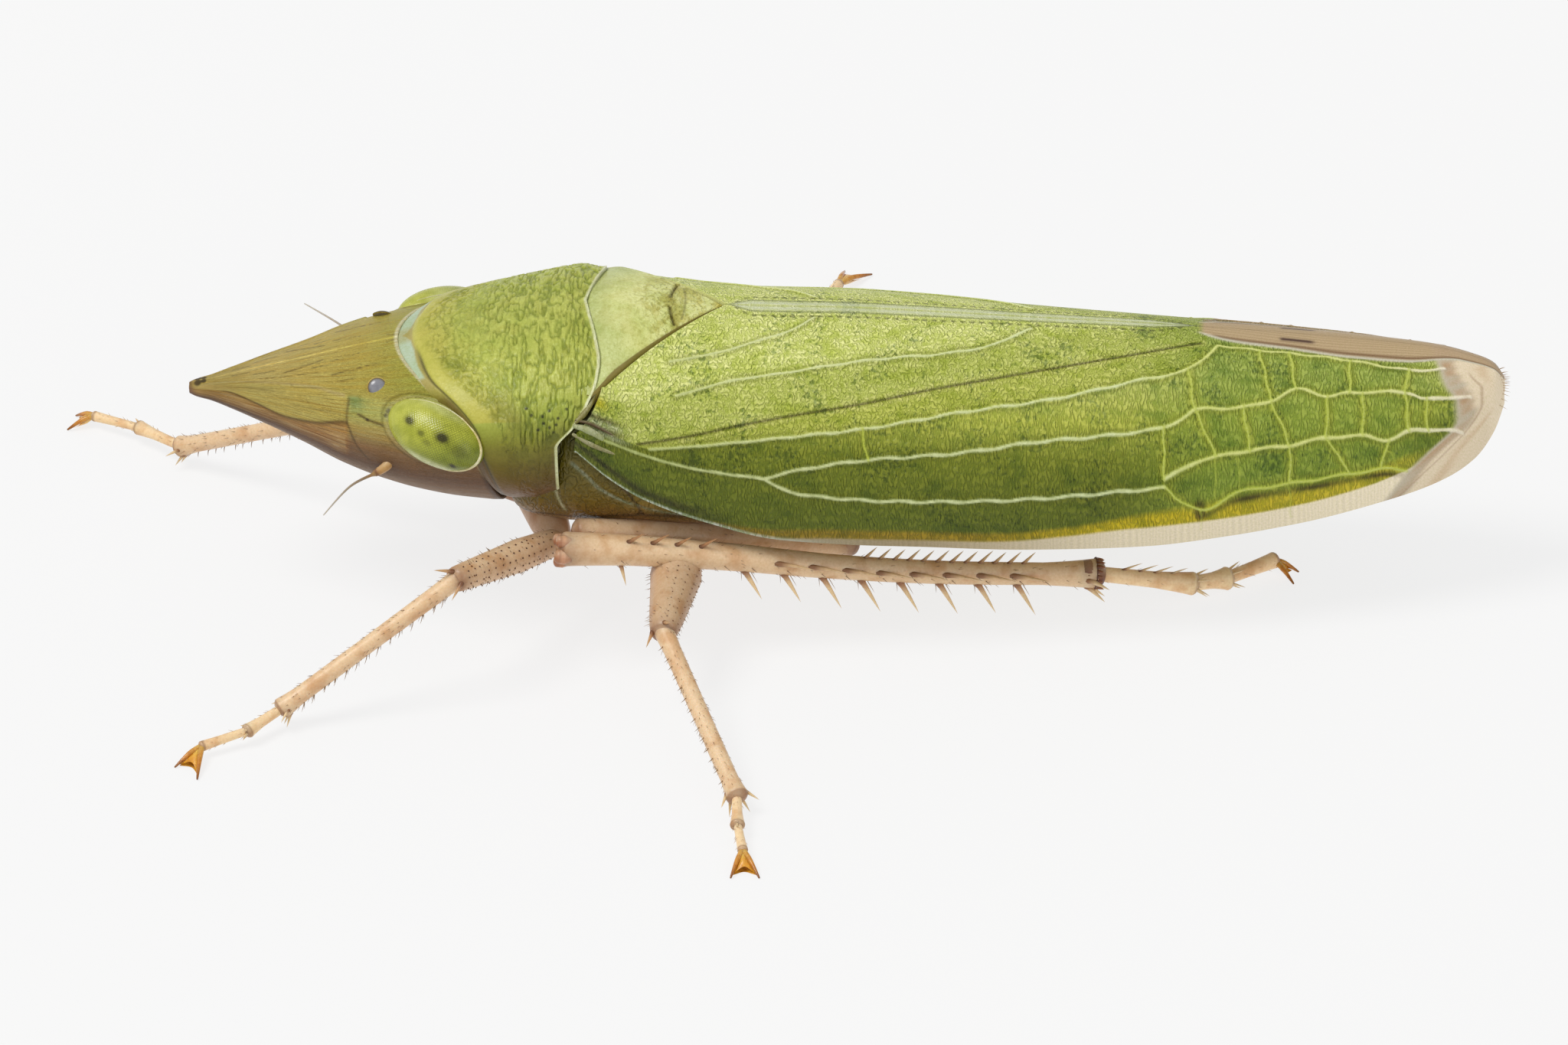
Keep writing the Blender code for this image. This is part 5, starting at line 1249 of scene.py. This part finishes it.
def limb(heap, points, radii, pale=TAN_SKIN, joint=JOINT_SKIN, ends=(0.05, 0.05), dots=0.0, seam=0.55, per_leg=10):
    """Leg segment that darkens towards its joints, with painted light on its upper side."""
    spots, outs, run = tube(points, radii, per_leg=per_leg)
    left = run[-1] - run
    dark = np.clip(0.7 * (bell(run - 0.01, ends[0]) + bell(left - 0.01, ends[1])), 0, 0.7)
    seams = seam * np.clip(bell(run - 0.032, 0.009) + bell(left - 0.030, 0.008), 0, 1)
    # the pale coat on the upward-facing side is painted light from above; the dark seams are the joints' own colour
    tint = coats(mix(pale, joint, dark[:, None]), ((242, 220, 188), 0.30 * ease(0.2, 1.0, outs[..., 2])),
                 ((112, 68, 42), seams[:, None]))
    heap.grid(spots, tint, spots + (7.0, 3.0, 5.0), (0.9, dots, 0))


def rod(root, way, long, sides, rings, lean, bend):
    """Rings of points along a thin tapered rod; a ring is (share of the length, radius)."""
    way = unit(way)
    side = unit(np.cross(way, lean))
    turn = ring(sides)[:, None]
    outward = np.cos(turn) * side + np.sin(turn) * np.cross(way, side)
    bend = side * bend[0] + np.array((0, 0, bend[1]))
    return np.array([root + way * long * s + bend * long * s * s + outward * radius for s, radius in rings])


def spike(heap, root, way, long, radius, dark=(140, 94, 62), light=(222, 192, 150), sides=8):
    """Curved spine with a swollen socket."""
    shares = np.array((-0.16, -0.02, 0.04, 0.12, 0.35, 0.6, 0.82, 1.0))
    sizes = np.array((1.2, 1.3, 1.15, 0.95, 0.76, 0.52, 0.28, 0.03)) * radius
    spots = rod(root, way, long, sides, zip(shares, sizes), (0.3, 0.2, 1.0), (0, -0.06))
    heap.grid(spots, mix(dark, light, ease(0.02, 0.30, shares)[:, None]))


def hair(heap, root, way, long, radius, patch, shade=HAIR_SKIN):
    """Fine seta of three sides, bent a little."""
    rings = ((-0.05, radius), (0.35, radius * 0.8), (0.7, radius * 0.5), (1.0, radius * 0.08))
    heap.grid(rod(root, way, long, 3, rings, (0.1, 0.3, 1.0), (0.12, 0)), shade, patch=patch)


def limb_patch(block, share, lean, side, up):
    """Place on a limb unrolled flat: a third of the sheet for each of its segments."""
    return (block + 0.95 * share) / 3, (math.atan2(lean @ up, lean @ side) / (2 * math.pi) + 0.5) * 0.98 + 0.005


def tibia_spot(leg, share):
    """Point on the shin's centre line."""
    start = np.array(HIND_TIBIA_START.get(leg, KNEE[leg]))
    sag = fit(HIND_SAG, share) if leg in HIND_TIBIA_START else 0
    return between(start, np.array(TIBIA_END[leg]), share) + np.array((0, 0, sag))


def axes(start, end, out):
    """Ways along a segment, to its outer side and up."""
    along = unit(end - start)
    side = unit(np.cross((0, 0, 1.0), along))
    side = side * (1 if side[1] * out > 0 else -1)
    up = np.cross(along, side)
    return along, side, up * (1 if up[2] > 0 else -1)


def any_lean(along, dice):
    """Random direction square to a line."""
    return unit(np.cross(along, dice.normal(size=3)))


def rays(side, up, degrees):
    """Directions square to a segment, from its outer side upwards."""
    return [side * math.cos(turn) + up * math.sin(turn) for turn in np.radians(degrees)]


def build_upper_leg(leg, hairs, dice):
    kind, out = leg[:-2], SIDES[leg[-1]]
    root, hip, knee = (np.array(t[leg]) for t in (COXA_ROOT, TROCHANTER, KNEE))
    coxa, joint = COXA_RADIUS[kind], TROCHANTER_RADIUS[kind]
    heap = Heap()
    limb(heap, (root, between(root, hip, 0.6), hip), (coxa, coxa * 0.9, joint), (196, 160, 128), per_leg=14)
    sizes = (joint * 0.9, FEMUR_RADIUS[kind], KNEE_RADIUS[kind])
    limb(heap, (hip, between(hip, knee, 0.40), knee), sizes, FEMUR_SKIN[kind], dots=1.0 if kind == "fore" else 0.15,
         per_leg=24, ends=(0.08, 0.07))
    along, side, up = axes(hip, knee, out)

    def skin_spot(share, lean):
        return between(hip, knee, share) + lean * np.interp(share, (0, 0.4, 1), sizes) * 0.97

    for _ in range(FEMUR_HAIRS[kind]):
        share = dice.uniform(0.08, 0.97)
        lean = any_lean(along, dice)
        patch = limb_patch(0, share, lean, side, up)
        hair(hairs, skin_spot(share, lean), lean + along * 0.9, dice.uniform(0.03, 0.055), 0.003, patch)
    if kind != "hind":
        dark = (84, 50, 34) if kind == "fore" else (126, 88, 62)
        for lean in rays(side, up, DOT_ROWS):
            for share in np.arange(0.10, 0.97, ROW_STEP):
                share += dice.uniform(-0.012, 0.012)
                spike(heap, skin_spot(share, lean), lean + along * 0.5, DOT_LONG, DOT_RADIUS, dark, dark, sides=5)
        along, side, up = axes(tibia_spot(leg, 0), tibia_spot(leg, 1), out)
        for ahead, away, rise in KNEE_SPURS:
            lean = side * away + up * rise
            spike(heap, knee + unit(lean) * KNEE_RADIUS[kind] * 0.9, along * ahead + lean, SPUR_LONG, SPUR_RADIUS,
                  (120, 78, 50), (190, 150, 110))
    heap.make("femur_skin_" + leg, "leg", "leg_cuticle", "femur_" + leg)


def build_hind_ends(heap, start, end, radius, ways, dice):
    """Knobs of the hind knee and the dark ring with its teeth at the hind tibia's end."""
    along, side, up = ways
    for away, rise, size in KNEE_KNOBS:
        knob = start + (side * away + up * rise) * radius * 0.78 - along * 0.035
        line = (knob - along * 0.028, knob + along * 0.012, knob + along * 0.075)
        limb(heap, line, (size, size * 1.05, size * 0.5), (196, 144, 110), (146, 92, 62), per_leg=6,
             ends=(0.02, 0.02), seam=0.3)
    limb(heap, (end - along * 0.085 + side * 0.004 + up * 0.006, end + along * 0.004), (0.088, 0.106),
         (138, 74, 36), (86, 44, 22), seam=0, per_leg=12)
    for lean in rays(side, up, np.arange(-40, 221, 20)):
        spike(heap, end + lean * 0.094, along + lean * 0.25, dice.uniform(0.035, 0.060), 0.018,
              (92, 48, 24), (128, 76, 42))


def build_tibia(leg, hairs, dice):
    kind, out = leg[:-2], SIDES[leg[-1]]
    hind = kind == "hind"
    shares = (0.0, 0.12, 0.30, 0.50, 0.70, 0.90, 1.0)
    points = [tibia_spot(leg, share) for share in shares]
    radii = np.interp(shares, TIBIA_SHARES, TIBIA_RADII[kind])
    heap = Heap()
    limb(heap, points, radii, per_leg=16, ends=(0.16, 0.04) if hind else (0.06, 0.04), dots=0.15)
    along, side, up = axes(points[0], points[-1], out)

    def skin_spot(share, lean, deep):
        size = np.interp(share, TIBIA_SHARES, TIBIA_RADII[kind])
        return tibia_spot(leg, share) + unit(lean) * size * deep

    def bristle(share, lean, way, long, radius, shade=HAIR_SKIN):
        patch = limb_patch(1, share, unit(lean), side, up)
        hair(hairs, skin_spot(share, lean, 0.97), way, long, radius, patch, shade)

    if hind:
        build_hind_ends(heap, points[0], points[-1], radii[0], (along, side, up), dice)
    for (first, last), count, (back, away, rise), long, radius, inks in HIND_ROWS if hind else ():
        lean = side * away + up * rise
        for k in range(count):
            share = between(first, last, k / max(count - 1, 1))
            spike(heap, skin_spot(share, lean, 0.93), along * back + lean, long * dice.uniform(0.92, 1.05), radius,
                  *inks)
            if long > 0.2:
                bristle(share + 0.012, lean, along * 0.6 + lean, long * 0.4, 0.0035)
                bristle(share - 0.008, lean + side * 0.2, along * 0.2 + lean + side * 0.3, long * 0.3, 0.0035)
    for back, away, rise in COMB_WAYS:
        lean = side * away + up * rise
        spike(heap, skin_spot(0.985, lean, 0.85), along * back + lean, COMB_LONG[kind], COMB_RADIUS[kind],
              (150, 100, 60))
    for away, rise in BRISTLE_ROWS[kind]:
        lean = side * away + up * rise
        for share in np.arange(0.10, 0.96, ROW_STEP):
            share += dice.uniform(-0.01, 0.01)
            bristle(share, lean, along * 0.9 + lean, dice.uniform(0.05, 0.075), 0.0045, (130, 94, 64))
    for _ in range(TIBIA_HAIRS):
        lean = any_lean(along, dice)
        bristle(dice.uniform(0.03, 0.98), lean, lean * 0.7 + along, dice.uniform(0.02, 0.045), 0.0025)
    heap.make("tibia_skin_" + leg, "leg", "leg_cuticle", "tibia_" + leg)


def build_claws(end, tips, fan):
    """Two amber claws with the arched pad between them."""
    claws = Heap()
    for tip in tips:
        over = between(end, tip, 0.45) + np.array((0, 0, 0.025))
        spots, _, run = tube((end, over, tip + np.array((0, 0, 0.012))), (0.024, 0.018, 0.006), 16, 12)
        tint = ramp(run / run[-1], (0, 222, 178, 96), (0.6, 196, 132, 50), (1, 104, 60, 26))
        claws.grid(spots, tint[:, None])
    share, along = np.linspace(0, 1, 24)[None, :], np.linspace(0.05, 1, 26)[:, None]
    far = between(*tips, share[..., None])
    web = between(end, far, (fan * along * (1 - 0.22 * np.cos((share - 0.5) * np.pi)))[..., None])
    arch = 0.030 * np.sin(share * np.pi) * np.sin(along * np.pi * 0.8) + 0.004
    for way in (1, -1):
        sheet = web + stack(0, 0, np.maximum(arch * way, 0.0008 - web[..., 2]))
        claws.grid(sheet, mix((236, 196, 100), (222, 160, 48), along), closed=False, heart=(*end[:2], -way))
    return claws


def build_tarsus(leg, hairs, dice):
    kind = leg[:-2]
    radius = TARSUS_RADIUS[kind]
    shin, after = np.array(TIBIA_END[leg]), np.array(TARSUS[leg][0])
    joints = [shin + unit(after - shin) * 0.02] + [np.array(p) for p in TARSUS[leg]]
    heap = Heap()
    for k, (a, b) in enumerate(zip(joints, joints[1:])):
        last = k == len(joints) - 2
        slim = radius * (0.72 if last else 0.84)
        limb(heap, (a, between(a, b, 0.6), b), (slim * 0.9, slim, radius * (0.85 if last else 1.20)), (244, 212, 166),
             per_leg=12, ends=(0.020, 0.020))
        ahead, side, up = axes(a, b, 1)
        for way in () if last else TARSUS_SPURS:
            spike(heap, b + np.array(way) * radius, ahead + np.array(way), TARSUS_SPUR_LONG[kind], 0.012)
        for _ in range(TARSUS_HAIRS):
            share = dice.uniform(0.05, 0.95)
            lean = any_lean(ahead, dice)
            patch = limb_patch(2 + k / 3, share / 3, lean, side, up)
            spot = between(a, b, share) + lean * slim * 0.95
            hair(hairs, spot, lean * 0.6 + ahead, dice.uniform(0.02, 0.04), 0.0022, patch, (196, 160, 120))
        for share in HIND_TOE_SPINES if kind == "hind" and k == 0 else ():
            spike(heap, between(a, b, share) + up * slim * 0.9, ahead + up * 0.65, 0.14, 0.009)
    claws = build_claws(joints[-1], [np.array(tip) for tip in CLAW_TIPS[leg]], PAD_FAN[kind])
    heap.make("tarsus_skin_" + leg, "leg", "leg_cuticle", "tarsus_" + leg)
    claws.make("claws_" + leg, "amber", "leg_cuticle")


def build_antenna(name, side):
    heap = Heap()
    base = [np.array(spot) * (1, side, 1) for spot in ANTENNA_BASE] + [np.array(ANTENNA[name][0])]
    limb(heap, base, (0.040, 0.035, 0.024), (184, 146, 88), (128, 88, 52), per_leg=12, ends=(0.035, 0.03), seam=0.75)
    line = curve(ANTENNA[name], 16)
    sizes = np.interp(np.linspace(0, 1, len(line)), (0, 0.12, 1), (0.022, 0.011, 0.004))
    spots, _, run = tube(line, sizes, 12, 1)
    tint = ramp(run / run[-1], (0, 170, 134, 84), (0.25, 146, 130, 112), (1, 186, 180, 172))
    heap.grid(spots, tint[:, None])
    heap.make("feeler_" + name, "leg", "feeler", "antenna_" + name)


def build_beak():
    heap = Heap()
    limb(heap, BEAK, BEAK_RADII, (160, 124, 96), (96, 64, 46), per_leg=12)
    heap.make("beak_skin", "leg", "underside_cuticle", "beak")


def build_tip_hairs(dice):
    hairs = Heap()
    for side in SIDES.values():
        for turn in np.linspace(0.12, 0.80, 10):
            station = WING_TIP - 0.025 - 0.30 * abs(turn - 0.5) ** 2 * dice.uniform(0.6, 1.0)
            out = np.array((1.0, side * 0.35 * turn, 0.6 - turn * 1.3))
            patch = (0.5 + 0.4 * side + 0.03 * turn, 0.05 + 0.9 * turn)
            spot = roof(station, turn) * (1, side, 1)
            hair(hairs, spot, out, dice.uniform(0.035, 0.06), 0.003, patch, (186, 156, 124))
    hairs.make("hairs_wing_tips", "leg", "leg_cuticle")


# Floor, light and camera

def place_new(name, data):
    """New object in the scene."""
    piece = bpy.data.objects.new(name, data)
    bpy.context.collection.objects.link(piece)
    return piece


def build_stage():
    mesh = bpy.data.meshes.new("floor")
    corners = [(x * FLOOR_HALF, y * FLOOR_HALF, 0) for x, y in ((-1, -1), (1, -1), (1, 1), (-1, 1))]
    mesh.from_pydata(corners, [], [(0, 1, 2, 3)])
    paper = bpy.data.materials.new("floor_paper")
    paper.use_nodes = True
    inputs = paper.node_tree.nodes["Principled BSDF"].inputs
    for key, value in (("Base Color", FLOOR_SHADE), ("Roughness", 0.9), ("Emission Color", (1, 1, 1, 1)),
                       ("Emission Strength", FLOOR_GLOW)):
        inputs[key].default_value = value
    mesh.materials.append(paper)
    place_new("floor", mesh)
    world = bpy.data.worlds.new("studio")
    bpy.context.scene.world = world
    world.use_nodes = True
    sky = world.node_tree.nodes["Background"].inputs
    sky[0].default_value, sky[1].default_value = WORLD_SHADE, WORLD_LIGHT
    for name, spot, size, power in LAMPS:
        lamp = bpy.data.lights.new(name, "AREA")
        lamp.shape, lamp.size, lamp.energy, lamp.color = "DISK", size, power, LAMP_SHADE
        holder = place_new(name, lamp)
        holder.location = spot
        holder.rotation_euler = (Vector((0, 0, 0.001)) - Vector(spot)).to_track_quat("-Z", "Y").to_euler()


def build_camera():
    """Long lens from the animal's left, a third of the way up and a hair behind square."""
    right, up = Vector(CAMERA_RIGHT).normalized(), Vector(CAMERA_UP).normalized()
    back = right.cross(up)
    camera = bpy.data.cameras.new("camera")
    camera.lens, camera.sensor_width = LENS, SENSOR
    camera.clip_start, camera.clip_end = 0.02, 5.0
    turn = np.eye(4)
    turn[:3, 0], turn[:3, 1], turn[:3, 2] = right, up, back
    turn[:3, 3] = (np.array(CAMERA_AIM) + np.array(back) * FRAME_WIDTH * LENS / SENSOR) * MM
    holder = place_new("camera", camera)
    holder.matrix_world = Matrix(turn.tolist())
    bpy.context.scene.camera = holder
    bpy.context.scene.view_settings.view_transform = "Standard"


def main():
    dice = np.random.default_rng(7)
    build_head()
    for name, side in SIDES.items():
        build_eye(name, side)
        build_ocellus(name, side)
    for build in (build_pronotum, build_thorax, build_abdomen, build_scutellum, build_wings, build_hinges):
        build()
    for name, side in SIDES.items():
        build_antenna(name, side)
    build_beak()
    for leg in COXA_ROOT:
        hairs = Heap()
        for build in (build_upper_leg, build_tibia, build_tarsus):
            build(leg, hairs, dice)
        hairs.make("hairs_" + leg, "leg", "leg_cuticle")
    build_tip_hairs(dice)
    build_stage()
    build_camera()


main()
